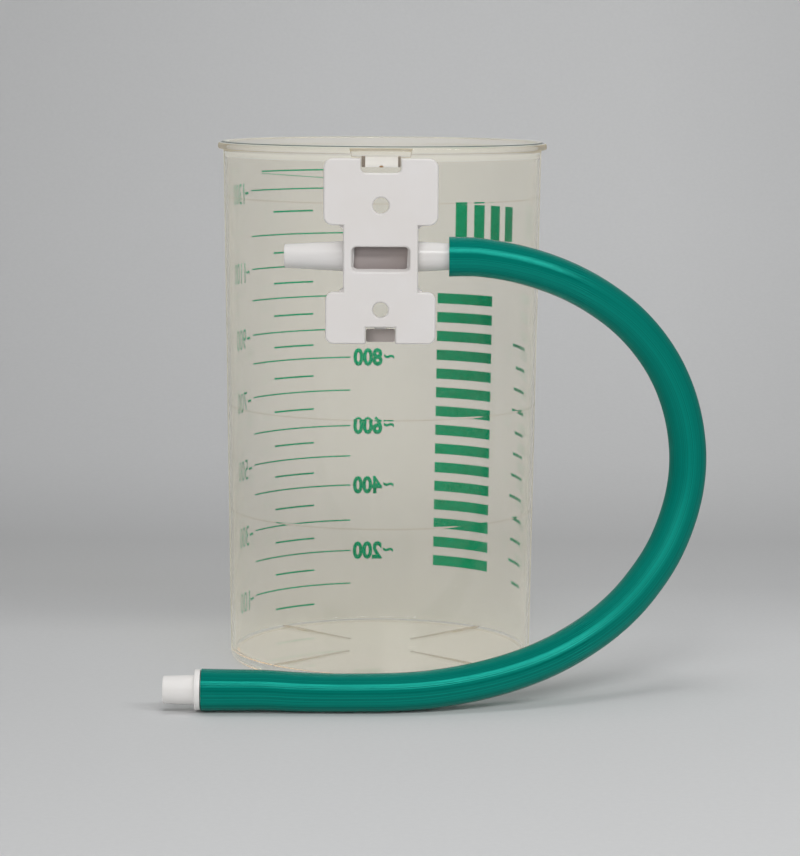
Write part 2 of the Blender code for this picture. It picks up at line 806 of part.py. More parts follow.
def build_hose(material):
    curve = bpy.data.curves.new("vacuum_hose", "CURVE")
    curve.dimensions = "3D"
    curve.bevel_depth = HOSE_RADIUS
    curve.bevel_resolution = 4
    spline = curve.splines.new("POLY")
    spline.points.add(HOSE_STEPS)
    for step, point in enumerate(spline.points):
        place = smooth_point(HOSE_ROUTE, (len(HOSE_ROUTE) - 1) * step / HOSE_STEPS)
        point.co = (*place, 1.0)
        point.radius = hose_radius(place) / HOSE_RADIUS
    hose = bpy.data.objects.new("vacuum_hose", curve)
    wall = hose.modifiers.new("wall", "SOLIDIFY")
    wall.thickness = HOSE_WALL
    wall.offset = -1.0
    return finish(hose, material)


def build_connector(material):
    end = Vector(HOSE_ROUTE[-1])
    stem_tip = STEM_LENGTH
    collar = -GAP
    cone = collar - COLLAR_THICKNESS
    tip = cone - CONE_LENGTH
    bore = CONNECTOR_BORE_RADIUS
    profile = [
        (bore, stem_tip),
        (STEM_RADIUS - CONNECTOR_ROUND, stem_tip),
        (STEM_RADIUS, stem_tip - CONNECTOR_ROUND),
        (STEM_RADIUS, collar),
        (COLLAR_RADIUS - CONNECTOR_ROUND, collar),
        (COLLAR_RADIUS, collar - CONNECTOR_ROUND),
        (COLLAR_RADIUS, cone + CONNECTOR_ROUND),
        (COLLAR_RADIUS - CONNECTOR_ROUND, cone),
        (CONE_ROOT_RADIUS, cone),
        (CONE_TIP_RADIUS, tip + CONNECTOR_ROUND),
        (CONE_TIP_RADIUS - CONNECTOR_ROUND, tip),
        (bore, tip),
        (bore, stem_tip),
    ]
    placement = Matrix.Translation(end) @ Matrix.Rotation(math.pi / 2, 4, "Y")
    return finish(turned("hose_connector", profile, 32, placement), material)


clear_scene()
parts = make_collection("suction_canister")
helpers = make_collection("helpers")
build_jar(plastic("clear_plastic", (0.72, 0.69, 0.60), 0.08, 0.35))
build_plate(plastic("white_plate_plastic", (0.80, 0.78, 0.76), 0.45))
build_tee(plastic("white_tee_plastic", (0.78, 0.77, 0.75), 0.30))
build_seal(plastic("grey_rubber", (0.12, 0.12, 0.12), 0.70))
build_hose(plastic("green_hose_plastic", (0.0, 0.20, 0.15), 0.30))
build_connector(plastic("white_connector_plastic", (0.82, 0.80, 0.78), 0.40))
bpy.context.view_layer.update()
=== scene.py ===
# %% [markdown]
# # A suction canister, from its CAD frame to a finished picture
# A suction canister is the clear jar on a ward wall that collects what a suction pump draws off.
# The CAD model, in metres, is already packed: a jar, the plate that hangs it on the wall, a tee, a
# rubber seal, a hose and the hose's connector. This notebook loads it as a frame that can't move,
# and then makes each piece again with its finish.

# %% Load the frame
import math

import bpy
from mathutils import Matrix, Vector


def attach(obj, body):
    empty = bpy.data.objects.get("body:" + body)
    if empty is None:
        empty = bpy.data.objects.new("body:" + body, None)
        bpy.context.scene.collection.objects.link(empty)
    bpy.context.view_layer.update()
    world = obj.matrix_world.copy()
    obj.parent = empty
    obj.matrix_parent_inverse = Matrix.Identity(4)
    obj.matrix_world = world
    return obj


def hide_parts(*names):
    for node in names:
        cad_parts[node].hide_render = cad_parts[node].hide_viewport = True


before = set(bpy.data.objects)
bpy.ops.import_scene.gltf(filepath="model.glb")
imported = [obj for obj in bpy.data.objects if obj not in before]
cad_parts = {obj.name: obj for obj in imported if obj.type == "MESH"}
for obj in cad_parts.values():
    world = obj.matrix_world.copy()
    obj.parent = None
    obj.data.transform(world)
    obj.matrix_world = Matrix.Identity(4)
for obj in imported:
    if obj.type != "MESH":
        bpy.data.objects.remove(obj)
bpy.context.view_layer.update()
print("nodes:", sorted(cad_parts))

# %% [markdown]
# ## The camera
# The photograph was taken from about a metre away and a little above the jar's rim. A long lens
# keeps the jar's sides nearly parallel. The camera is placed first, because everything else is
# judged through it. It is also turned by a third of a degree about its own axis, as the
# photograph is.

# %% Camera
CAMERA_PLACE = (0.00665, -1.0489, 0.2141)
CAMERA_PITCH = math.radians(82.782)
CAMERA_ROLL = math.radians(0.32)
CAMERA_LENS = 126.12

bpy.ops.object.select_all(action="DESELECT")
bpy.ops.object.camera_add(location=CAMERA_PLACE)
camera = bpy.context.object
camera.name = "camera"
turn = Matrix.Rotation(CAMERA_PITCH, 4, "X") @ Matrix.Rotation(CAMERA_ROLL, 4, "Z")
camera.matrix_world = Matrix.Translation(CAMERA_PLACE) @ turn
camera.data.sensor_width = 36.0
camera.data.lens = CAMERA_LENS
camera.data.clip_start = 0.05
camera.data.clip_end = 20.0
bpy.context.scene.camera = camera
print("camera at", CAMERA_PLACE, "with a", CAMERA_LENS, "mm lens")

# %% [markdown]
# ## Selecting in code
# By hand, a piece is clicked before an operator is used on it. A new primitive comes in selected,
# and so do the CAD nodes, so in code each step starts with nothing selected, and only the points,
# edges or faces that pass a test are then selected.

# %% Helpers for selecting
def leave_edit():
    bpy.ops.object.mode_set(mode="OBJECT")


def deselect():
    """Leave edit mode with nothing selected."""
    if bpy.context.mode != "OBJECT":
        leave_edit()
    bpy.ops.object.select_all(action="DESELECT")


def pick(*pieces):
    """Select only these pieces, with the first one active."""
    deselect()
    for piece in pieces:
        piece.select_set(True)
    bpy.context.view_layer.objects.active = pieces[0]


def add(name, operator, location=(0, 0, 0), **settings):
    """Add a primitive with nothing else selected, and name it."""
    deselect()
    operator(location=location, **settings)
    piece = bpy.context.object
    piece.name = name
    piece.data.name = name
    return piece


def choose(piece, kind, test):
    """Enter edit mode with only those vertices, edges or faces selected that pass a test."""
    pick(piece)
    bpy.ops.object.mode_set(mode="EDIT")
    bpy.ops.mesh.select_mode(type=kind)
    bpy.ops.mesh.select_all(action="DESELECT")
    leave_edit()
    parts = {"VERT": piece.data.vertices, "EDGE": piece.data.edges, "FACE": piece.data.polygons}
    for part in parts[kind]:
        part.select = test(part)
    bpy.ops.object.mode_set(mode="EDIT")


def choose_all(piece):
    """Enter edit mode with the whole piece selected."""
    pick(piece)
    bpy.ops.object.mode_set(mode="EDIT")
    bpy.ops.mesh.select_all(action="SELECT")

# %% [markdown]
# ## Finishing a mesh
# A finished piece has its place in its mesh, every face turned outwards, and smooth shading that
# stops at its sharp edges. Nothing on this canister moves, so each piece rides on the root body.
# It hides the CAD node that it stands for.

# %% Helpers for finishing a mesh
MERGE = 0.000001
SHARP = math.radians(35)


def settle(piece):
    """Move a piece's place, turn and scale into its mesh."""
    pick(piece)
    bpy.ops.object.transform_apply(location=True, rotation=True, scale=True)
    return piece


def smooth(piece, angle=SHARP):
    """Shade a piece smooth, except over edges that are sharper than an angle."""
    pick(piece)
    bpy.ops.object.shade_smooth_by_angle(angle=angle)
    return piece


def modify(piece, kind, **settings):
    """Add a modifier with these settings, and apply it."""
    pick(piece)
    bpy.ops.object.modifier_add(type=kind)
    modifier = piece.modifiers[-1]
    for name, value in settings.items():
        setattr(modifier, name, value)
    bpy.ops.object.modifier_apply(modifier=modifier.name)
    return piece


def close_mesh(piece):
    """Merge doubled points and turn every face outwards."""
    choose_all(piece)
    bpy.ops.mesh.remove_doubles(threshold=MERGE)
    bpy.ops.mesh.normals_make_consistent(inside=False)
    leave_edit()
    return piece


def place_as(piece, slot, *nodes):
    """Tie a finished piece to the frame, in the place of these CAD nodes."""
    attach(piece, "root")
    if nodes:
        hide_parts(*nodes)
    triangles = sum(len(face.vertices) - 2 for face in piece.data.polygons)
    print(piece.name, "has", triangles, "triangles")

# %% [markdown]
# ## Turned, boxed and drilled shapes
# A turned piece is drawn as a profile, point after point, and spun about Z, as its mould is cut on
# a lathe. Moulded details start as blocks, and holes as rods. A Boolean joins them or cuts them
# away, so that each piece is one closed solid.

# %% Helper for turned shapes
def spun(name, profile, steps):
    """Draw a profile of (radius, height) points and spin it about Z."""
    piece = add(name, bpy.ops.mesh.primitive_circle_add, vertices=3, radius=0.001)
    choose_all(piece)
    bpy.ops.mesh.merge(type="CENTER")
    here = Vector((profile[0][0], 0.0, profile[0][1]))
    bpy.ops.transform.translate(value=here)
    for radius, height in profile[1:]:
        there = Vector((radius, 0.0, height))
        bpy.ops.mesh.extrude_vertices_move(TRANSFORM_OT_translate={"value": there - here})
        here = there
    bpy.ops.mesh.select_all(action="SELECT")
    bpy.ops.mesh.spin(steps=steps, angle=math.tau, center=(0, 0, 0), axis=(0, 0, 1))
    leave_edit()
    return close_mesh(piece)

# %% Helpers for blocks, rods and Booleans
ALONG_Y = (math.pi / 2, 0, 0)
ALONG_X = (0, math.pi / 2, 0)


def combine(piece, tool, operation):
    """Add or cut away another solid, which is then deleted."""
    modify(piece, "BOOLEAN", operation=operation, object=tool, solver="EXACT")
    bpy.data.objects.remove(tool, do_unlink=True)
    return piece


def block(name, low, high, round_edges=0.0, segments=3):
    """A box between two corners, with rounded edges if asked."""
    low, high = Vector(low), Vector(high)
    piece = add(name, bpy.ops.mesh.primitive_cube_add, (low + high) / 2, size=1.0)
    choose_all(piece)
    bpy.ops.transform.resize(value=high - low)
    if round_edges:
        bpy.ops.mesh.bevel(offset=round_edges, segments=segments, affect="EDGES")
    leave_edit()
    return settle(piece)


def rod(name, place, radius, length, turned, sides=48):
    """A round rod about its middle, to drill a hole with."""
    shape = {"vertices": sides, "radius": radius, "depth": length, "rotation": turned}
    return add(name, bpy.ops.mesh.primitive_cylinder_add, place, **shape)

# %% [markdown]
# ## Nodes for the finishes
# Each finish starts from one Principled shader, with a few noise nodes for the small changes in
# colour, gloss and height that moulded plastic has. They read Object coordinates, in metres, so a
# noise scale of 400 makes spots about 2.5 mm across. Most of a noise lies between 0.3 and 0.7.

# %% Helpers for materials
def new_material(name, color, roughness):
    """A material whose colour and roughness hold until a pattern is linked in."""
    material = bpy.data.materials.new(name)
    material.use_nodes = True
    shader = material.node_tree.nodes["Principled BSDF"]
    shader.inputs["Base Color"].default_value = (*color, 1.0)
    shader.inputs["Roughness"].default_value = roughness
    return material, shader


def node(material, kind, **settings):
    """Add a node. A setting that names one of its inputs sets that, any other an attribute."""
    made = material.node_tree.nodes.new(kind)
    for name, value in settings.items():
        if name in made.inputs:
            made.inputs[name].default_value = value
        else:
            setattr(made, name, value)
    return made


def link(material, start, end):
    material.node_tree.links.new(start, end)


def feed(material, value, socket):
    """Give an input a plain value, or link another node's output to it."""
    if isinstance(value, bpy.types.NodeSocket):
        link(material, value, socket)
    else:
        socket.default_value = value

# %% Helpers for patterns
NOISE_LOW, NOISE_HIGH = 0.3, 0.7


def noise(material, scale, detail=2.0, stretch=(1, 1, 1), source="Object"):
    """Noise on Object coordinates, or along a UV map, stretched on each axis."""
    place = node(material, "ShaderNodeTexCoord")
    mapping = node(material, "ShaderNodeMapping", Scale=stretch)
    pattern = node(material, "ShaderNodeTexNoise", Scale=scale, Detail=detail)
    link(material, place.outputs[source], mapping.inputs["Vector"])
    link(material, mapping.outputs["Vector"], pattern.inputs["Vector"])
    return pattern.outputs["Fac"]


def axes(material, source="Object"):
    """The X, Y and Z of each point."""
    place = node(material, "ShaderNodeTexCoord")
    split = node(material, "ShaderNodeSeparateXYZ")
    link(material, place.outputs[source], split.inputs["Vector"])
    return split.outputs


def ramp(material, factor, *stops):
    """Turn a number into a colour. Each stop is (place, colour)."""
    made = node(material, "ShaderNodeValToRGB")
    elements = made.color_ramp.elements
    while len(elements) < len(stops):
        elements.new(0.5)
    for element, (place, color) in zip(elements, stops):
        element.position = place
        element.color = (*color, 1.0)
    link(material, factor, made.inputs["Fac"])
    return made.outputs["Color"]


def rescale(material, factor, low, high, start=NOISE_LOW, end=NOISE_HIGH, curve="LINEAR"):
    """Turn a number from start to end, by default a noise's, into one from low to high."""
    limits = {"From Min": start, "From Max": end, "To Min": low, "To Max": high}
    made = node(material, "ShaderNodeMapRange", interpolation_type=curve, **limits)
    link(material, factor, made.inputs["Value"])
    return made.outputs["Result"]


def bump(material, shader, height, distance, strength=1.0):
    """Raise a pattern by a distance in metres."""
    made = node(material, "ShaderNodeBump", Strength=strength, Distance=distance)
    link(material, height, made.inputs["Height"])
    link(material, made.outputs["Normal"], shader.inputs["Normal"])

# %% Helpers for sums and mixes
MIX_SHARE, MIX_FIRST, MIX_SECOND, MIX_RESULT = 0, 6, 7, 2


def maths(material, operation, *values):
    """A Math node. Each value is a number or another node's output."""
    made = node(material, "ShaderNodeMath", operation=operation)
    for socket, value in zip(made.inputs, values):
        feed(material, value, socket)
    return made.outputs["Value"]


def mix_colors(material, share, first, second, mode="MIX"):
    """Mix two colours, each a plain colour or another node's output."""
    made = node(material, "ShaderNodeMix", data_type="RGBA", blend_type=mode)
    for index, value in ((MIX_SHARE, share), (MIX_FIRST, first), (MIX_SECOND, second)):
        feed(material, value, made.inputs[index])
    return made.outputs[MIX_RESULT]


def mix_shaders(material, share, first, second):
    made = node(material, "ShaderNodeMixShader")
    for socket, value in zip(made.inputs, (share, first, second)):
        feed(material, value, socket)
    return made.outputs["Shader"]

# %% [markdown]
# ## White plastic
# The plate, the tee and the connector are moulded in white plastic. Up close it is never one flat
# white: it has faint warm clouds, an uneven gloss and a fine texture from the mould. One recipe
# makes all of the whites.

# %% White plastic
CLOUD_SCALE = 60.0
GLOSS_SCALE = 180.0
TEXTURE_SCALE = 2600.0
TEXTURE_HEIGHT = 0.00002
DULLEST, GLOSSIEST = 0.03, 0.02


def moulded_white(name, color, roughness, mottle, texture=0.5):
    """White moulded plastic: faint clouds of warmth, an uneven gloss and a fine texture."""
    material, shader = new_material(name, color, roughness)
    losses = (mottle, 1.4 * mottle, 2.0 * mottle)
    warm = tuple(value * (1.0 - loss) for value, loss in zip(color, losses))
    clouds = ramp(material, noise(material, CLOUD_SCALE, 3.0), (0.35, warm), (0.65, color))
    patches = noise(material, GLOSS_SCALE, 3.0)
    gloss = rescale(material, patches, roughness - GLOSSIEST, roughness + DULLEST)
    link(material, clouds, shader.inputs["Base Color"])
    link(material, gloss, shader.inputs["Roughness"])
    bump(material, shader, noise(material, TEXTURE_SCALE), TEXTURE_HEIGHT, texture)
    return material


white_satin = moulded_white("white_satin_plastic", (0.80, 0.77, 0.755), 0.42, 0.02)
white_gloss = moulded_white("white_gloss_plastic", (0.76, 0.74, 0.725), 0.17, 0.02, 0.1)
white_hard = moulded_white("white_nylon", (0.87, 0.85, 0.83), 0.36, 0.02)
# The next two whites are painted shade: darker whites for the tee's boss behind the window and the plate's
# tongue, which lie deep in shade.
boss_painted_shade = moulded_white("white_boss_painted_shade", (0.355, 0.31, 0.30), 0.5, 0.04)
tongue_painted_shade = moulded_white("white_tongue_painted_shade", (0.50, 0.445, 0.425), 0.5, 0.04)
print("white_satin, white_gloss, white_hard, recess and tongue_painted_shade are ready")

# %% [markdown]
# ## The hose's route
# The vacuum hose is a thick, soft green tube. It is pushed over the tee's right arm, loops down
# beside the jar and lies along the table, and a white connector is plugged into its other end.
# The whole hose is in the photograph, so the route's length is the real one. The route's points
# were chosen in the CAD model, and a smooth curve runs through them here too.

# %% Hose route
HOSE_DIAMETER = 0.0126
HOSE_RINGS = 240
HOSE_ROUTE = (
    (0.0225, -0.0610, 0.1460), (0.0280, -0.0610, 0.1460), (0.0335, -0.0608, 0.1457),
    (0.0440, -0.0592, 0.1439), (0.0546, -0.0565, 0.1408), (0.0647, -0.0533, 0.1365),
    (0.0742, -0.0499, 0.1309), (0.0829, -0.0466, 0.1241), (0.0904, -0.0436, 0.1160),
    (0.0965, -0.0412, 0.1068), (0.1009, -0.0395, 0.0968), (0.1036, -0.0388, 0.0862),
    (0.1045, -0.0393, 0.0754), (0.1033, -0.0413, 0.0648), (0.1002, -0.0448, 0.0547),
    (0.0956, -0.0494, 0.0454), (0.0895, -0.0547, 0.0372), (0.0824, -0.0605, 0.0300),
    (0.0743, -0.0664, 0.0240), (0.0654, -0.0720, 0.0190), (0.0559, -0.0772, 0.0149),
    (0.0460, -0.0818, 0.0118), (0.0357, -0.0858, 0.0095), (0.0253, -0.0890, 0.0079),
    (0.0150, -0.0915, 0.0069), (0.0047, -0.0930, 0.0065), (-0.0057, -0.0936, 0.0064),
    (-0.0160, -0.0938, 0.0064), (-0.0265, -0.0938, 0.0066), (-0.0370, -0.0938, 0.0071),
    (-0.0472, -0.0938, 0.0071), (-0.0573, -0.0938, 0.0071),
)


def on_route(share):
    """A point on the smooth curve through the route, from share 0 to 1."""
    last = len(HOSE_ROUTE) - 1
    index = min(int(share * last), last - 1)
    t = share * last - index
    a, b, c, d = [Vector(HOSE_ROUTE[min(max(index + step, 0), last)]) for step in (-1, 0, 1, 2)]
    point = 2 * b + (c - a) * t
    point += (2 * a - 5 * b + 4 * c - d) * t**2
    point += (3 * b - a - 3 * c + d) * t**3
    return 0.5 * point


path = [on_route(step / HOSE_RINGS) for step in range(HOSE_RINGS + 1)]
length = sum((b - a).length for a, b in zip(path, path[1:]))
print("hose length", round(length, 4), "m")

# %% [markdown]
# ## The hose
# A curve with a round bevel makes the tube in one go, and gives it a UV map that runs along it.
# The hose is fatter where the tee's arm and the connector's stem stretch it, which is a radius on
# each point of the curve. Solidify then gives the tube its wall.

# %% Hose
HOSE_RADIUS = HOSE_DIAMETER / 2
RADIUS_ON_TEE = 0.0066
RADIUS_ON_STEM = 0.0069
HOSE_WALL = 0.0018
LOOP_MIDDLE = 0.09
TEE_TIP_X = 0.0318
STRETCH_FADE = 0.0060
STEM_FADE = 0.0440


def hose_scale(point):
    """How much fatter than its free size the hose is at a point."""
    if point.z > LOOP_MIDDLE:
        fatter = RADIUS_ON_TEE / HOSE_RADIUS
        fade_end = TEE_TIP_X + STRETCH_FADE
        share = (fade_end - point.x) / (fade_end - HOSE_ROUTE[0][0])
    else:
        fatter = RADIUS_ON_STEM / HOSE_RADIUS
        share = (HOSE_ROUTE[-1][0] + STEM_FADE - point.x) / STEM_FADE
    return 1 + (fatter - 1) * min(max(share, 0.0), 1.0)


hose = add("hose", bpy.ops.curve.primitive_bezier_curve_add)
hose.data.dimensions = "3D"
hose.data.splines.clear()
spline = hose.data.splines.new("POLY")
spline.points.add(HOSE_RINGS)
for point, place in zip(spline.points, path):
    point.co = (*place, 1.0)
    point.radius = hose_scale(place)
hose.data.bevel_depth = HOSE_RADIUS
hose.data.bevel_resolution = 14
pick(hose)
bpy.ops.object.convert(target="MESH")
hose = bpy.context.object
modify(hose, "SOLIDIFY", thickness=HOSE_WALL, offset=-1.0)
smooth(hose)
print("hose UV maps", [layer.name for layer in hose.data.uv_layers])

# %% [markdown]
# ## The hose's finish
# The hose is extruded from soft green vinyl. The die leaves fine lines along its whole length, and
# the light runs along them as one long streak. Noise that is stretched along the hose, on the UV
# map that the curve gave it, makes those lines. The streak is green rather than white, so the
# shader is partly metallic and has little plain gloss. The outside of the loop is duller, as it
# is rubbed the most.

# %% Hose material
ALONG_THE_HOSE = (0.35, 130.0, 1.0)
DARK_GREEN = (0.0, 0.195, 0.153)
LIGHT_GREEN = (0.0, 0.285, 0.223)
DULLER = 0.30
DULLER_FROM_X, DULLER_TO_X = 0.058, 0.090
LINE_HEIGHT = 0.00012

hose_green, shader = new_material("green_vinyl", (0.0, 0.34, 0.26), 0.28)
lines = noise(hose_green, 1.0, 1.0, ALONG_THE_HOSE, "UV")
greens = ramp(hose_green, lines, (0.38, DARK_GREEN), (0.62, LIGHT_GREEN))
gloss = rescale(hose_green, lines, 0.15, 0.27)
reach = axes(hose_green)["X"]
rubbed = rescale(hose_green, reach, 0.0, DULLER, DULLER_FROM_X, DULLER_TO_X, "SMOOTHSTEP")
link(hose_green, greens, shader.inputs["Base Color"])
link(hose_green, maths(hose_green, "ADD", rubbed, gloss), shader.inputs["Roughness"])
bump(hose_green, shader, lines, LINE_HEIGHT, 0.6)
shader.inputs["Metallic"].default_value = 0.36
shader.inputs["Specular IOR Level"].default_value = 0.12
hose.data.materials.clear()
hose.data.materials.append(hose_green)
print("hose lines", LINE_HEIGHT, "m high")

# %% [markdown]
# ## The connector
# A white tapered connector closes the hose's free end. It is one turned piece: a stem inside the
# hose, a collar that the hose is pushed against and a short cone. It is spun standing up and then
# laid along the hose's end.

# %% Connector and cord
STEM_RADIUS = 0.00475
STEM_LENGTH = 0.0203
CONNECTOR_BORE = 0.0027
STEM_CHAMFER = 0.0003
CONNECTOR_STEPS = 96
connector = spun(
    "connector",
    [
        (CONNECTOR_BORE, STEM_LENGTH), (STEM_RADIUS - STEM_CHAMFER, STEM_LENGTH),
        (STEM_RADIUS, STEM_LENGTH - STEM_CHAMFER), (STEM_RADIUS, -0.0003),
        (0.00645, -0.0003), (0.00658, -0.00038),
        (0.00665, -0.0006), (0.00665, -0.0019), (0.00658, -0.00212),
        (0.00640, -0.0022), (0.00505, -0.0022), (0.00490, -0.0023),
        (0.00483, -0.0026), (0.00452, -0.0121), (0.00446, -0.0123),
        (0.00430, -0.0125), (0.00345, -0.0125), (0.00325, -0.0124),
        (CONNECTOR_BORE, -0.0113), (CONNECTOR_BORE, STEM_LENGTH),
    ],
    CONNECTOR_STEPS,
)
connector.matrix_world = Matrix.Translation(HOSE_ROUTE[-1]) @ Matrix.Rotation(math.pi / 2, 4, "Y")
settle(connector)
smooth(connector)
connector.data.materials.append(white_hard)
place_as(connector, "white_connector_plastic", "hose_connector")

place_as(hose, "green_hose_plastic", "vacuum_hose")
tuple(HOSE_ROUTE[0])
[tuple(point) for point in path]

# %% [markdown]
# ## Clear plastic
# Clear plastic is a Principled shader with full transmission, a faint tint and an uneven gloss.
# A jar that is washed every day also has a haze of fine scratches. A volume would show it too, but
# takes long to render and darkens the far wall, so a milky shader is mixed into the surface: a
# touch of it everywhere, more where the wall is seen edge-on, and more on the jar's far side.

# %% Haze
EDGE_POWER = 6.0
HAZE_CLOUD_SCALE = 45.0
FAR_FROM_Y, FAR_TO_Y = -0.035, 0.012


def milky_shader(material, haze_color):
    """A shader that scatters light back and through, in faint clouds."""
    deeper = tuple(value * 0.96 for value in haze_color)
    clouds = noise(material, HAZE_CLOUD_SCALE, 3.0)
    cloudy = ramp(material, clouds, (0.35, deeper), (0.65, haze_color))
    milky = node(material, "ShaderNodeAddShader")
    for index, kind in enumerate(("ShaderNodeBsdfDiffuse", "ShaderNodeBsdfTranslucent")):
        scatter = node(material, kind)
        link(material, cloudy, scatter.inputs["Color"])
        link(material, scatter.outputs["BSDF"], milky.inputs[index])
    return milky.outputs["Shader"]


def haze_share(material, haze, grazing, far_haze, power):
    """How milky the surface is: more edge-on, and on the far side where that is asked."""
    if not grazing:
        return haze
    if far_haze:
        depth = axes(material)["Y"]
        haze = rescale(material, depth, haze, far_haze, FAR_FROM_Y, FAR_TO_Y, "SMOOTHSTEP")
    facing = node(material, "ShaderNodeLayerWeight", Blend=0.5)
    steep = maths(material, "POWER", facing.outputs["Facing"], power)
    return maths(material, "MULTIPLY_ADD", steep, grazing, haze)

# %% [markdown]
# ## Ring lines and free light
# The wall's three faint rings show as fine lines on its near side: painted shade, as thin darker
# lines in the tint. Shadow and diffuse rays pass straight through the plastic, because a renderer
# can't easily find the bright paths that real clear plastic sends into its own shadow.

# %% Ring lines and free light
JAR_RINGS = (0.0535, 0.0904, 0.1629)
RING_HALF_WIDTH = 0.00022
RING_SHADE_COLOR = (0.93, 0.89, 0.83, 1.0)
PASSING_TINT = (0.96, 0.955, 0.93, 1.0)


def draw_rings(material, shader, tint_color):
    """Paint shade as thin darker lines in the tint, round the near side of the wall at each ring."""
    place = axes(material)
    total = maths(material, "COMPARE", place["Z"], JAR_RINGS[0], RING_HALF_WIDTH)
    for ring in JAR_RINGS[1:]:
        near = maths(material, "COMPARE", place["Z"], ring, RING_HALF_WIDTH)
        total = maths(material, "ADD", near, total)
    front = maths(material, "LESS_THAN", place["Y"], 0.0)
    on_line = maths(material, "MULTIPLY", total, front)
    color = mix_colors(material, on_line, (*tint_color, 1.0), RING_SHADE_COLOR)
    link(material, color, shader.inputs["Base Color"])


def let_light_through(material, surface):
    """Let shadow and diffuse rays pass straight through a surface."""
    passing = node(material, "ShaderNodeBsdfTransparent", Color=PASSING_TINT)
    rays = node(material, "ShaderNodeLightPath").outputs
    free = maths(material, "MAXIMUM", rays["Is Shadow Ray"], rays["Is Diffuse Ray"])
    mixed = mix_shaders(material, free, surface, passing.outputs["BSDF"])
    link(material, mixed, material.node_tree.nodes["Material Output"].inputs["Surface"])


print("ring lines at heights", JAR_RINGS)

# %% [markdown]
# ## The jar's ten plastics
# It is all one plastic, but it looks brown in the foot, where light runs a long way inside, grey in
# the ribs, pale at the lip, and dark along the rim and the lug's sides. A renderer finds little of
# that in so few samples, so each place gets its own tint and haze. The dark line along the rim and
# the lug's dark sides are painted shade, and the lug's pale front is a painted reflection.

# %% Jar materials
def clear_plastic(name, tint_color, haze_color, haze, grazing, far_haze=0, power=EDGE_POWER, ringed=False):
    """Clear plastic, with a haze that grows where it is seen edge-on."""
    material, shader = new_material(name, tint_color, 0.03)
    shader.inputs["Transmission Weight"].default_value = 1.0
    shader.inputs["IOR"].default_value = 1.25
    gloss = rescale(material, noise(material, 90.0, 3.0), 0.03, 0.05)
    link(material, gloss, shader.inputs["Roughness"])
    if ringed:
        draw_rings(material, shader, tint_color)
    share = haze_share(material, haze, grazing, far_haze, power)
    milky = milky_shader(material, haze_color)
    let_light_through(material, mix_shaders(material, share, shader.outputs["BSDF"], milky))
    return material


AMBER_CLEAR = (1.0, 0.993, 0.972)
clear = clear_plastic("clear_amber_plastic", AMBER_CLEAR, (0.90, 0.82, 0.62), 0.005, 0.30, ringed=True)
foot_amber = clear_plastic("clear_plastic_foot", (0.85, 0.70, 0.52), (0.80, 0.55, 0.34), 0.75, 0.1)
# Painted reflection: a whitish haze for the pale glare in the lug's hollow front.
lug_painted_reflection = clear_plastic("clear_plastic_lug_painted_reflection", (0.97, 0.96, 0.94), (0.70, 0.68, 0.67), 0.42, 0.1)
outer = clear_plastic(
    "clear_plastic_outside", AMBER_CLEAR, (0.82, 0.755, 0.57), 0.005, 0.20, far_haze=0.21, ringed=True
)
floor_amber = clear_plastic("clear_plastic_floor", (1.0, 0.98, 0.94), (1.0, 0.88, 0.68), 0.10, 0.1)
# Painted shade: a dark tint and haze for the shaded step under the lip.
rim_painted_shade = clear_plastic("clear_plastic_rim_painted_shade", (0.20, 0.27, 0.27), (0.05, 0.08, 0.08), 0.45, 0.0)
rim_clear = clear_plastic("clear_plastic_rim", (0.97, 0.95, 0.91), (0.38, 0.32, 0.21), 0.05, 0.65, power=2.0)
# Painted shade: a dark tint and haze for the lug's shaded sides.
lug_side_painted_shade = clear_plastic("clear_plastic_lug_side_painted_shade", (0.62, 0.56, 0.52), (0.16, 0.13, 0.11), 0.45, 0.0)
lip_cream = clear_plastic("clear_plastic_lip", (1.0, 0.99, 0.96), (0.90, 0.87, 0.80), 0.24, 0.0)
rib_grey = clear_plastic("clear_plastic_rib", (0.88, 0.84, 0.78), (0.46, 0.40, 0.32), 0.22, 0.1)
JAR_PLASTICS = (
    clear, foot_amber, lug_painted_reflection, outer, floor_amber, rim_painted_shade, rim_clear, lug_side_painted_shade, lip_cream, rib_grey,
)


def in_plastic(piece, plastic):
    """Give a piece of the jar all of its plastics, with its faces in one of them."""
    for material in JAR_PLASTICS:
        piece.data.materials.append(material)
    for face in piece.data.polygons:
        face.material_index = JAR_PLASTICS.index(plastic)
    return piece


print("jar plastics:", len(JAR_PLASTICS))

# %% [markdown]
# ## The jar's profile
# The jar is injection moulded in a clear, faintly amber plastic, in one piece: a slightly tapered
# wall that thins at three shallow rings, a floor that rises by a trifle in the middle, and a
# rolled flange with a lip for the lid. Its profile runs up its inside, over the rim and down its
# outside.

# %% Helpers for the profile
JAR_HEIGHT = 0.1820
BASE_RADIUS = 0.0529
TOP_RADIUS = 0.0554
WALL = 0.0014
RING_STEP = 0.00003
FLOOR_REACH, FLOOR_STEPS = 0.052, 16
FLOOR_THICKNESS, FLOOR_RISE = 0.0028, 0.0006


def wall(height):
    """Outer radius of the jar's wall at a height."""
    return BASE_RADIUS + (TOP_RADIUS - BASE_RADIUS) * height / JAR_HEIGHT


def bore(height):
    """Inner radius, a little smaller below each ring."""
    return wall(height) - WALL - RING_STEP * sum(height < ring for ring in JAR_RINGS)


def floor_point(step):
    """A point of the floor's top, counted from its middle."""
    rise = FLOOR_RISE * math.cos(step / FLOOR_STEPS * math.pi / 2)
    return FLOOR_REACH * step / FLOOR_STEPS, FLOOR_THICKNESS + rise


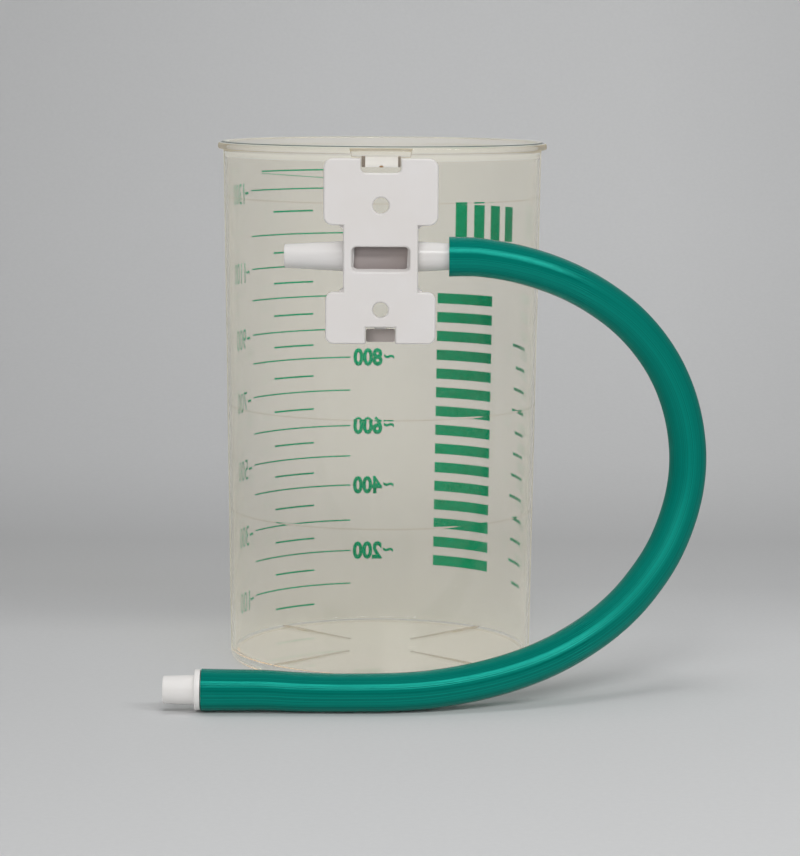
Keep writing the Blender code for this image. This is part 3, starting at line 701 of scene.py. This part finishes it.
def arc(centre, radius, start, end, steps):
    """Points of a fillet, with the angles in degrees from +X towards +Z."""
    angles = [math.radians(start + (end - start) * step / steps) for step in range(steps + 1)]
    return [(centre[0] + radius * math.cos(a), centre[1] + radius * math.sin(a)) for a in angles]


def straight(radius_at, start, end, spacing=0.004):
    """Points along a wall between two heights."""
    count = max(2, round(abs(end - start) / spacing))
    heights = [start + (end - start) * step / count for step in range(count + 1)]
    return [(radius_at(height), height) for height in heights]


print("wall radius", BASE_RADIUS, "at the foot and", TOP_RADIUS, "at the top")

# %% Jar profile
RIM_RADIUS = 0.0572
FLANGE_BOTTOM, FLANGE_TOP = 0.1794, 0.1816
WALL_TOP = 0.1786
FLOOR_FILLET = 0.0018
FOOT_FILLET = 0.0027

inside = [floor_point(step) for step in range(FLOOR_STEPS - 1)]
inside += arc((bore(0.0044) - FLOOR_FILLET, 0.0046), FLOOR_FILLET, -90, 0, 8)
start = 0.0050
for ring in JAR_RINGS:
    inside += straight(bore, start, ring - 0.0004)
    inside += [(bore(ring - 0.0001), ring - 0.0001), (bore(ring + 0.0002), ring + 0.0002)]
    start = ring + 0.0005
inside += straight(bore, start, JAR_HEIGHT - 0.0008)

lip = bore(JAR_HEIGHT)
rim = arc((lip + 0.0004, JAR_HEIGHT - 0.0004), 0.0004, 180, 90, 3)
rim += arc((lip + 0.0014, JAR_HEIGHT - 0.0003), 0.0003, 90, 0, 3)
rim += [(lip + 0.0018, 0.18155)]
rim += arc((RIM_RADIUS - 0.0010, FLANGE_TOP - 0.0010), 0.0010, 90, 0, 5)
rim += arc((RIM_RADIUS - 0.0005, FLANGE_BOTTOM + 0.0005), 0.0005, 0, -90, 3)
rim += arc((wall(WALL_TOP) + 0.0008, FLANGE_BOTTOM - 0.0008), 0.0008, 90, 180, 4)

outside = straight(wall, 0.1780, 0.0032)
outside += arc((wall(FOOT_FILLET) - FOOT_FILLET, FOOT_FILLET), FOOT_FILLET, 0, -90, 8)
outside += [(0.0484, 0.0), (0.040, 0.0), (0.020, 0.0), (0.0, 0.0)]
print("profile points:", len(inside) + len(rim) + len(outside))

# %% [markdown]
# ## The jar's body
# The profile is spun in many steps, because clear plastic shows every facet. Each face then takes
# its plastic from its place: its height, and its reach from the jar's axis.

# %% Jar body
JAR_STEPS = 192
FOOT_TOP, FOOT_START = 0.0009, 0.0480
RIM_START, MOUTH_EDGE = 0.1787, 0.0550
LIP_BOTTOM = 0.1814


def plastic_at(place):
    """The plastic of the face of the jar whose centre lies here."""
    reach = math.hypot(place.x, place.y)
    if place.z < FOOT_TOP and reach > FOOT_START:
        return foot_amber if place.y < 0.0 else rib_grey
    # The dark line under the lip is painted shade.
    if 0.1815 < place.z < 0.18194 and 0.0555 < reach < 0.0563:
        return rim_painted_shade
    if place.z > LIP_BOTTOM or place.z > RIM_START and reach < MOUTH_EDGE:
        return lip_cream
    if place.z > RIM_START:
        return rim_clear
    if place.z > 0.0026 and reach > wall(place.z) - 0.0002:
        return outer
    if 0.0020 < place.z < 0.0040 and reach < 0.0505:
        return floor_amber
    return clear


jar = in_plastic(spun("jar", inside + rim + outside, JAR_STEPS), clear)
for face in jar.data.polygons:
    face.material_index = JAR_PLASTICS.index(plastic_at(face.center))
print("jar rim radius", RIM_RADIUS, "height", JAR_HEIGHT)

# %% [markdown]
# ## What is moulded onto the jar
# Four ribs cross the floor and leave its middle bare. At the front a tab reaches out from the rim
# over the mounting plate, with a hollow lug under it that fills the plate's top notch, and lower
# down a small wedge catches the plate's tongue. Each is made by itself and joined to the jar by a
# Boolean, so that the clear plastic is one solid with no hidden walls inside. Last comes the round
# hole for the seal.

# %% Ribs
RIB_INNER, RIB_OUTER = 0.0155, 0.0513
for index in range(4):
    rib = block(f"rib_{index}", (RIB_INNER, -0.0005, 0.0026), (RIB_OUTER, 0.0005, 0.0038), 0.0003, 2)
    rib.matrix_world = Matrix.Rotation(math.radians(45 + 90 * index), 4, "Z")
    settle(rib)
    combine(jar, in_plastic(rib, rib_grey), "UNION")
print("faces with the ribs:", len(jar.data.polygons))

# %% Tab and lug
TAB_FRONT = -0.0687
TAB_BOTTOM = 0.1787
tab = block("tab", (-0.0103, TAB_FRONT, TAB_BOTTOM), (0.0103, -0.0550, 0.1813))
corners = tab.data.vertices
choose(tab, "EDGE", lambda edge: all(corners[index].co.y < -0.0680 for index in edge.vertices))
bpy.ops.mesh.bevel(offset=0.0012, segments=5, affect="EDGES")
leave_edit()
choose(tab, "VERT", lambda vertex: vertex.co.z < TAB_BOTTOM + 0.0003)
bpy.ops.transform.resize(value=(0.93, 1.0, 1.0), center_override=(0.0, -0.0618, TAB_BOTTOM))
leave_edit()
combine(jar, in_plastic(tab, rim_clear), "UNION")

# The lug's front takes a painted reflection, and its sides painted shade.
for name, left, right, back, plastic in (
    ("lug_front", -0.0052, 0.0056, -0.0676, lug_painted_reflection),
    ("lug_left", -0.0064, -0.0051, -0.0657, lug_side_painted_shade),
    ("lug_right", 0.0055, 0.0064, -0.0657, lug_side_painted_shade),
):
    lug = block(name, (left, TAB_FRONT, 0.1756), (right, back, 0.1792), 0.0002, 2)
    combine(jar, in_plastic(lug, plastic), "UNION")
print("faces with the tab and the lug:", len(jar.data.polygons))

# %% Catch and port
PORT_RADIUS = 0.0065
catch = block("catch", (-0.0021, -0.0596, 0.1202), (0.0021, -0.0543, 0.1236), 0.0003, 2)
combine(jar, in_plastic(catch, clear), "UNION")
port_drill = rod("port_drill", (0, -0.0545, 0.146), PORT_RADIUS, 0.012, ALONG_Y, 64)
combine(jar, in_plastic(port_drill, clear), "DIFFERENCE")
close_mesh(jar)
smooth(jar)
print("jar faces:", len(jar.data.polygons), "port radius", PORT_RADIUS)

# %% [markdown]
# ## The gate mark
# The plastic entered the mould at the lug's front, where a small brown dot of scorched plastic is
# left. It is a flattened sphere, sunk to half its depth in the lug.

# %% Gate mark
SPHERE = {"segments": 24, "ring_count": 12, "radius": 0.0007}
gate_mark = add("gate_mark", bpy.ops.mesh.primitive_uv_sphere_add, (0.0001, TAB_FRONT, 0.1758), **SPHERE)
bpy.ops.transform.resize(value=(1.0, 0.3, 0.45))
settle(gate_mark)
smooth(gate_mark)
brown, shader = new_material("gate_brown", (0.30, 0.16, 0.06), 0.5)
link(brown, rescale(brown, noise(brown, 900.0), 0.4, 0.6), shader.inputs["Roughness"])
gate_mark.data.materials.append(brown)
place_as(gate_mark, "clear_plastic")
place_as(jar, "clear_plastic", "canister_jar")

# %% [markdown]
# ## The mounting plate
# The plate hangs the jar on the wall holder: two pads on a narrower waist, with a notch for the
# lug, two round holes, a window over the tee and a notch for the spring tongue. Slabs are joined,
# the openings are cut, and only then are the edges of both faces rounded, in one go.

# %% Plate outline
PLATE_FRONT = -0.0690055
PLATE_BACK = -0.0665
BEFORE_PLATE, BEHIND_PLATE = -0.0700, -0.0655


def runs_along_y(piece, edge):
    start, end = (piece.data.vertices[index].co for index in edge.vertices)
    return abs(start.y - end.y) > 0.9 * (start - end).length


def slab(name, half_width, low, high, corner, segments=8, front=PLATE_FRONT, back=PLATE_BACK):
    """An upright slab that is rounded at the corners of its outline."""
    piece = block(name, (-half_width, front, low), (half_width, back, high))
    choose(piece, "EDGE", lambda edge: runs_along_y(piece, edge))
    bpy.ops.mesh.bevel(offset=corner, segments=segments, affect="EDGES")
    leave_edit()
    return piece


plate = slab("plate", 0.01875, 0.1566, 0.1784, 0.0030)
combine(plate, slab("lower_pad", 0.01805, 0.1177, 0.1347, 0.0026), "UNION")
combine(plate, block("waist", (-0.0123, PLATE_FRONT, 0.1335), (0.0123, PLATE_BACK, 0.1578)), "UNION")
choose(plate, "FACE", lambda face: True)
bpy.ops.mesh.dissolve_limited(angle_limit=0.01)
leave_edit()
print("plate outline faces:", len(plate.data.polygons))

# %% Plate openings and edges
WINDOW_TOP = 0.14955
NOTCH_HALF_WIDTH = 0.0049
PLATE_HOLES = ((0.1631, 0.00265), (0.1289, 0.0025))
EDGE_ROUNDINGS = ((-1, 0.0006, 4), (1, 0.0003, 2))

top_notch = slab("top_notch", 0.0066, 0.1737, 0.1830, 0.0014, 3, BEFORE_PLATE, BEHIND_PLATE)
combine(plate, top_notch, "DIFFERENCE")
low, high = (-NOTCH_HALF_WIDTH, BEFORE_PLATE, 0.1150), (NOTCH_HALF_WIDTH, BEHIND_PLATE, 0.1231)
combine(plate, block("latch_notch", low, high), "DIFFERENCE")
for height, radius in PLATE_HOLES:
    combine(plate, rod("hole_drill", (0, -0.068, height), radius, 0.01, ALONG_Y), "DIFFERENCE")
window = slab(
    "window", 0.00965, 0.1413, WINDOW_TOP, 0.0016, 6, PLATE_FRONT - 0.00005, PLATE_BACK + 0.0001
)
choose(window, "VERT", lambda vertex: vertex.co.y > -0.067)
bpy.ops.transform.resize(value=(0.93, 1.0, 0.87), center_override=(0.0, -0.067, WINDOW_TOP))
combine(plate, window, "DIFFERENCE")
for side, radius, steps in EDGE_ROUNDINGS:
    choose(plate, "FACE", lambda face: face.normal.y * side > 0.999)
    bpy.ops.mesh.region_to_loop()
    bpy.ops.mesh.bevel(offset=radius, segments=steps, affect="EDGES")
    leave_edit()
print("plate faces with openings:", len(plate.data.polygons))

# %% [markdown]
# ## Behind the plate
# The photograph doesn't show the plate's back, so it follows the CAD model: two upright ribs that
# lean on the jar, small webs under the pads, and a latch bar that carries the spring tongue. A rod
# cuts the tee's slot through both ribs, and a cone as wide as the jar cuts the saddle round it.

# %% Back of the plate
RIB_LOW, RIB_HIGH = 0.1239, 0.1720
RIB_FRONT, RIB_BACK = -0.0677, -0.0516
TONGUE_FRONT, TONGUE_BACK = -0.0614, -0.0599


def gusset(side, edge, direction):
    """A small web in the corner between a rib and the back of a pad, with its tip cut back."""
    left, right = sorted((side * 0.0116, side * 0.0135))
    tip = edge + direction * 0.0018
    low, high = sorted((edge - direction * 0.0010, tip))
    web = block("gusset", (left, -0.0672, low), (right, -0.0610, high))
    choose(web, "VERT", lambda vertex: abs(vertex.co.x) > 0.013 and abs(vertex.co.z - tip) < 0.0002)
    bpy.ops.transform.translate(value=(0, 0, -direction * 0.0015))
    leave_edit()
    return web


rear = block("latch_bar", (-0.0046, RIB_FRONT, RIB_LOW), (0.0046, -0.0541, RIB_LOW + 0.0010))
neck = block("neck", (-0.0018, TONGUE_FRONT, 0.1215), (0.0018, TONGUE_BACK, 0.1242))
tongue = slab("tongue", 0.0048, 0.1177, 0.1219, 0.0006, 4, TONGUE_FRONT, TONGUE_BACK)
combine(rear, neck, "UNION")
combine(rear, tongue, "UNION")
combine(plate, rear, "UNION")
for side in (-1, 1):
    left, right = sorted((side * 0.0100, side * 0.0121))
    combine(plate, block("rear_rib", (left, RIB_FRONT, RIB_LOW), (right, RIB_BACK, RIB_HIGH)), "UNION")
    combine(plate, gusset(side, 0.1565, -1), "UNION")
    combine(plate, gusset(side, 0.1346, 1), "UNION")
print("plate faces with its back:", len(plate.data.polygons))

# %% Slot and saddle
SLOT_RADIUS = 0.0053
SADDLE_GAP = 0.0003
SADDLE_LOW, SADDLE_HIGH = 0.10, 0.18
combine(plate, block("slot_run", (-0.03, -0.0610, 0.1407), (0.03, -0.03, 0.1513)), "DIFFERENCE")
combine(plate, rod("slot_end", (0, -0.0610, 0.1460), SLOT_RADIUS, 0.06, ALONG_X), "DIFFERENCE")
saddle = add(
    "saddle",
    bpy.ops.mesh.primitive_cone_add,
    (0, 0, (SADDLE_LOW + SADDLE_HIGH) / 2),
    vertices=128,
    radius1=wall(SADDLE_LOW) + SADDLE_GAP,
    radius2=wall(SADDLE_HIGH) + SADDLE_GAP,
    depth=SADDLE_HIGH - SADDLE_LOW,
)
combine(plate, saddle, "DIFFERENCE")
close_mesh(plate)
print("plate faces when closed:", len(plate.data.polygons))

# %% [markdown]
# ## Finish of the plate, the tee and the seal
# The plate is satin white. Its tongue and the tee's boss behind the window lie deep in shade,
# and that shade is painted on them as a darker white. The CAD nodes of the tee and the seal
# already have the right shape. Each is copied and its loose triangles are merged. Where a
# rounding meets a flat face, the flat face decides the shading, or it would look dented there.

# %% Plate, tee and seal
CRISP = math.radians(32)
SQUARE_ON = 0.99999


def paint(piece, material, low, high):
    """Give a second material to the faces whose centres lie in a box."""
    piece.data.materials.append(material)
    for face in piece.data.polygons:
        if all(low[axis] < face.center[axis] < high[axis] for axis in range(3)):
            face.material_index = len(piece.data.materials) - 1


def shaded(piece, material):
    """Shade a piece smooth in one material, and let its flat faces decide the shading."""
    smooth(piece, CRISP)
    choose(piece, "FACE", lambda face: max(abs(part) for part in face.normal) > SQUARE_ON)
    bpy.ops.mesh.mod_weighted_strength(set=True, face_strength="STRONG")
    modify(piece, "WEIGHTED_NORMAL", use_face_influence=True, keep_sharp=True)
    piece.data.materials.clear()
    piece.data.materials.append(material)
    return piece


def merged_copy(node_name, name):
    """A copy of a CAD node, with its loose triangles merged."""
    piece = bpy.data.objects.new(name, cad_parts[node_name].data.copy())
    bpy.context.scene.collection.objects.link(piece)
    piece.matrix_world = Matrix.Identity(4)
    choose_all(piece)
    bpy.ops.mesh.remove_doubles(threshold=MERGE)
    leave_edit()
    return piece


shaded(plate, white_satin)
# Painted shade: the tongue, deep in shade, takes the darker white.
paint(plate, tongue_painted_shade, (-0.0049, -0.0616, 0.1170), (0.0049, -0.0590, 0.1222))
place_as(plate, "white_plate_plastic", "mounting_plate")

tee = shaded(merged_copy("vacuum_tee", "tee"), white_gloss)
# Painted shade: the tee's boss behind the window takes the darker white.
paint(tee, boss_painted_shade, (-0.0088, -0.0663, 0.1412), (0.0088, -0.0640, 0.1508))
place_as(tee, "white_tee_plastic", "vacuum_tee")

rubber, shader = new_material("grey_rubber", (0.10, 0.10, 0.10), 0.7)
bump(rubber, shader, noise(rubber, 1800.0, 3.0), 0.00003, 0.6)
link(rubber, rescale(rubber, noise(rubber, 300.0), 0.6, 0.8), shader.inputs["Roughness"])
seal = shaded(merged_copy("port_seal", "seal"), rubber)
place_as(seal, "grey_rubber", "port_seal")

# %% [markdown]
# ## The printed scale
# The scale is printed in green on the jar's far wall, so from the front it is seen mirrored,
# through the jar. Each mark is drawn flat, as someone behind the jar reads it, cut into narrow
# strips and rolled onto the wall. It lies just under the outer face, to keep the CAD model's size.

# %% Helpers for rolling print onto the wall
INK_THICKNESS = 0.00005
INK_GAP = -0.00015
STRIP = 0.0012
marks = []


def roll_on(piece, azimuth, height):
    """Roll a flat drawing (x to the right, y up) onto the far wall. Azimuth 0 faces +Y, in degrees
    towards +X. The drawing runs towards -X, which is the right hand from behind."""
    for vertex in piece.data.vertices:
        up = height + vertex.co.y
        radius = wall(up) + INK_GAP
        angle = math.radians(azimuth) - vertex.co.x / wall(height)
        vertex.co = (radius * math.sin(angle), radius * math.cos(angle), up)
    modify(piece, "SOLIDIFY", thickness=INK_THICKNESS, offset=1.0)
    close_mesh(piece)
    marks.append(piece)


def slice_up(piece, width):
    """Cut a flat drawing into upright strips, so that it can bend."""
    choose_all(piece)
    for step in range(-1, int(width / STRIP) + 2):
        bpy.ops.mesh.select_all(action="SELECT")
        bpy.ops.mesh.bisect(plane_co=((step + 0.5) * STRIP, 0, 0), plane_no=(1, 0, 0))
    leave_edit()

# %% Helpers for bars and numbers
def bar(name, azimuth, height, width, thickness, slant=0.0):
    """A printed bar that starts at an azimuth and runs to the right as read from behind."""
    piece = add(name, bpy.ops.mesh.primitive_plane_add, size=1.0)
    choose_all(piece)
    bpy.ops.transform.resize(value=(width, thickness, 1.0))
    bpy.ops.transform.translate(value=(width / 2, 0, 0))
    leave_edit()
    slice_up(piece, width)
    for vertex in piece.data.vertices:
        vertex.co.y += slant * vertex.co.x
    roll_on(piece, azimuth, height)


def number(text, azimuth, height, tall, wide, weight=0.045):
    """A printed number, squeezed or stretched to its height and width."""
    letters = add("number_" + text, bpy.ops.object.text_add).data
    letters.body = text
    letters.offset = weight
    letters.resolution_u = 3
    bpy.ops.object.convert(target="MESH")
    piece = bpy.context.object
    across = [vertex.co.x for vertex in piece.data.vertices]
    upward = [vertex.co.y for vertex in piece.data.vertices]
    left, right, low, high = min(across), max(across), min(upward), max(upward)
    for vertex in piece.data.vertices:
        vertex.co.x = (vertex.co.x - left) / (right - left) * wide
        vertex.co.y = ((vertex.co.y - low) / (high - low) - 0.5) * tall
    slice_up(piece, wide)
    roll_on(piece, azimuth, height)

# %% [markdown]
# ## Ticks and numbers
# Each 100 ml has a long tick and each 50 ml between them a short one. The heights follow the
# photograph, where the steps are not quite even. Even hundreds have their number at the right end
# of the tick, and odd hundreds at the left end, each with a small wave before it for "about".

# %% Ticks and numbers
LONG_TICKS = {
    100: 0.0165, 200: 0.0288, 300: 0.0402, 400: 0.0533, 500: 0.0642, 600: 0.0755, 700: 0.0887,
    800: 0.1009, 900: 0.1113, 1000: 0.1237, 1100: 0.1350, 1200: 0.1468, 1300: 0.1632,
}
SHORT_TICKS = (
    0.0094, 0.0222, 0.0341, 0.0464, 0.0584, 0.0697, 0.0822,
    0.0944, 0.1058, 0.1173, 0.1291, 0.1402, 0.1551,
)
PRINT_RADIUS = 0.0545
DEGREE = math.radians(1) * PRINT_RADIUS
TOP_LINE = 33.5 * DEGREE

for amount, height in LONG_TICKS.items():
    bar(f"tick_{amount}", -12.7, height, (46.8 + 12.0 * height) * DEGREE, 0.00047)
for index, height in enumerate(SHORT_TICKS):
    bar(f"short_tick_{index}", -28.2, height, 19.0 * DEGREE, 0.0006)
bar("top_line", -20.5, 0.1699, TOP_LINE, 0.0005)
bar("top_line_below", -20.5, 0.1668, TOP_LINE, 0.0002, 0.075)
for amount in (200, 400, 600, 800):
    number(str(amount), 0.1, LONG_TICKS[amount], 0.0067, 0.0110)
    number("~", 4.7, LONG_TICKS[amount] + 0.0002, 0.0017, 0.0038)
for amount in (100, 300, 500, 700, 900, 1100, 1300):
    wide = 0.0098 if amount < 1000 else 0.0116
    number(str(amount), -66.6, LONG_TICKS[amount] - 0.0009, 0.0074, wide, -0.008)
    number("~", -63.0, LONG_TICKS[amount] - 0.0008, 0.0014, 0.0026)
print("marks with the scale", len(marks))

# %% [markdown]
# ## Plain blocks beside the scale
# A tall column of plain printed blocks stands beside the scale, like a staff gauge that can be
# read from across the room, with a short row of blocks near the rim and rows of fine slanted
# dashes further round. They carry no words.

# %% Blocks and dashes
GAUGE_LOW, GAUGE_STEP = 0.0258, 0.00695
DASH_LOW, DASH_STEP = 0.022, 0.0078
for index in range(15):
    bar(f"gauge_block_{index}", 48.0, GAUGE_LOW + GAUGE_STEP * index, 26.0 * DEGREE, 0.0038)
for index in range(4):
    bar(f"top_block_{index}", 34.5 + 8.5 * index, 0.1515, 5.2 * DEGREE, 0.0125)
for index in range(12):
    width = (9.0 + 4.0 * (index * 5 % 7) / 7) * DEGREE
    bar(f"dash_{index}", 75.0, DASH_LOW + DASH_STEP * index, width, 0.0011, 0.06)
print("marks in all", len(marks))

# %% [markdown]
# ## The ink
# All the marks are joined into one piece. The ink is a matt green, a little thinner in places, and
# has no gloss of its own, as the clear wall lies over it.

# %% Ink
INK_THIN = (0.001, 0.43, 0.21)
INK_FULL = (0.0, 0.33, 0.14)

pick(*marks)
bpy.ops.object.join()
print_piece = bpy.context.object
print_piece.name = print_piece.data.name = "printed_scale"
ink, shader = new_material("green_ink", (0.0, 0.42, 0.17), 0.45)
greens = ramp(ink, noise(ink, 700.0, 3.0), (NOISE_LOW, INK_FULL), (NOISE_HIGH, INK_THIN))
link(ink, greens, shader.inputs["Base Color"])
link(ink, rescale(ink, noise(ink, 350.0), 0.5, 0.7), shader.inputs["Roughness"])
shader.inputs["Specular IOR Level"].default_value = 0.0
print_piece.data.materials.clear()
print_piece.data.materials.append(ink)
place_as(print_piece, "green_hose_plastic")

# %% [markdown]
# ## Floor and backdrop
# The object stands on a plain pale sweep: a floor that curves up into a backdrop. Its paper is
# painted darker behind the object and at the sides: painted shade, where a studio's lamps don't reach.

# %% Sweep
BEND_START = 0.2
BEND_RADIUS = 0.6
BEND_STEPS = 12
BACKDROP_HEIGHT = 2.5

sweep = add("sweep", bpy.ops.mesh.primitive_plane_add, size=1.0)
choose_all(sweep)
bpy.ops.transform.resize(value=(12.0, 3.6, 1.0))
bpy.ops.transform.translate(value=(0, -1.5, 0))
choose(sweep, "VERT", lambda vertex: vertex.co.y > BEND_START)
for step in range(BEND_STEPS):
    start, end = math.radians(7.5 * step), math.radians(7.5 * (step + 1))
    back = BEND_RADIUS * (math.sin(end) - math.sin(start))
    upward = BEND_RADIUS * (math.cos(start) - math.cos(end))
    bpy.ops.mesh.extrude_region_move(TRANSFORM_OT_translate={"value": (0, back, upward)})
bpy.ops.mesh.extrude_region_move(TRANSFORM_OT_translate={"value": (0, 0, BACKDROP_HEIGHT)})
leave_edit()
smooth(sweep)
print("sweep faces:", len(sweep.data.polygons))

# %% Paper
PAPER_DARK = (0.665, 0.668, 0.67)
PAPER_LIGHT = (0.68, 0.683, 0.685)
# Painted shade on the paper, by depth and towards the sides.
SHADE_BY_DEPTH = ((0.0, 0.97), (0.24, 0.96), (0.34, 0.81), (0.45, 0.78), (0.62, 0.94), (0.85, 1.0))
SHADE_BY_WIDTH = ((0.05, 0.87), (0.45, 1.0), (0.75, 1.02), (0.95, 0.94))


def grey_ramp(material, factor, stops):
    """A ramp of plain greys. Each stop is (place, brightness)."""
    return ramp(material, factor, *[(place, (grey, grey, grey)) for place, grey in stops])


pale, shader = new_material("pale_paper", (0.50, 0.505, 0.51), 0.75)
paper = ramp(pale, noise(pale, 500.0), (NOISE_LOW, PAPER_DARK), (NOISE_HIGH, PAPER_LIGHT))
place = axes(pale)
depth_shade = grey_ramp(pale, rescale(pale, place["Y"], 0.0, 1.0, -0.2, 0.8), SHADE_BY_DEPTH)
sides = grey_ramp(pale, rescale(pale, place["X"], 0.0, 1.0, -0.3, 0.3), SHADE_BY_WIDTH)
painted_shade = mix_colors(pale, 1.0, depth_shade, sides, "MULTIPLY")
link(pale, mix_colors(pale, 1.0, paper, painted_shade, "MULTIPLY"), shader.inputs["Base Color"])
shader.inputs["Specular IOR Level"].default_value = 0.2
sweep.data.materials.append(pale)
print("paper brightness", PAPER_LIGHT)

# %% [markdown]
# ## Lamps and sky
# The light is plain and soft. The key is a long narrow lamp above and to the right, whose
# reflection is the streak along the hose. A fill from the left and an overhead lamp lighten the
# shadows and show in no reflection. A dim grey sky is what the glossy surfaces mirror.

# %% Lamps
def lamp(name, place, aim, width, depth, power, tilt=0.0, glossy=True):
    """A soft rectangular lamp that is turned towards a point, with its tilt in degrees."""
    made = add(name, bpy.ops.object.light_add, place, type="AREA")
    made.data.shape = "RECTANGLE"
    made.data.size, made.data.size_y = width, depth
    made.data.energy = power
    turned = (Vector(aim) - Vector(place)).to_track_quat("-Z", "Y").to_matrix()
    made.rotation_euler = (turned @ Matrix.Rotation(math.radians(tilt), 3, "Z")).to_euler()
    made.visible_glossy = glossy
    print(name, power, "W")


lamp("key", (0.49, -0.94, 0.97), (0.04, -0.07, 0.08), width=1.4, depth=0.22, power=8.0, tilt=-18.0)
lamp("fill", (-0.45, -1.5, 0.62), (0, 0, 0.1), width=0.8, depth=0.6, power=8.2, glossy=False)
lamp("overhead", (0.0, 0.1, 1.9), (0, 0.5, 0), width=0.8, depth=0.8, power=9.0, glossy=False)

# %% Sky
SKY_STRENGTH = 0.38
SKY_COLORS = (
    (0.0, (0.05, 0.05, 0.05)), (0.3, (0.12, 0.12, 0.125)), (0.6, (0.5, 0.51, 0.52)), (1.0, (0.6, 0.61, 0.62)),
)

world = bpy.data.worlds.new("studio")
bpy.context.scene.world = world
world.use_nodes = True
towards = axes(world, "Generated")
behind = maths(world, "MULTIPLY_ADD", towards["Y"], 0.25, 0.35)
above = maths(world, "MULTIPLY_ADD", towards["Z"], 0.5, behind)
background = world.node_tree.nodes["Background"]
link(world, ramp(world, above, *SKY_COLORS), background.inputs["Color"])
background.inputs["Strength"].default_value = SKY_STRENGTH
bpy.context.scene.view_settings.view_transform = "Standard"
print("sky strength", SKY_STRENGTH)
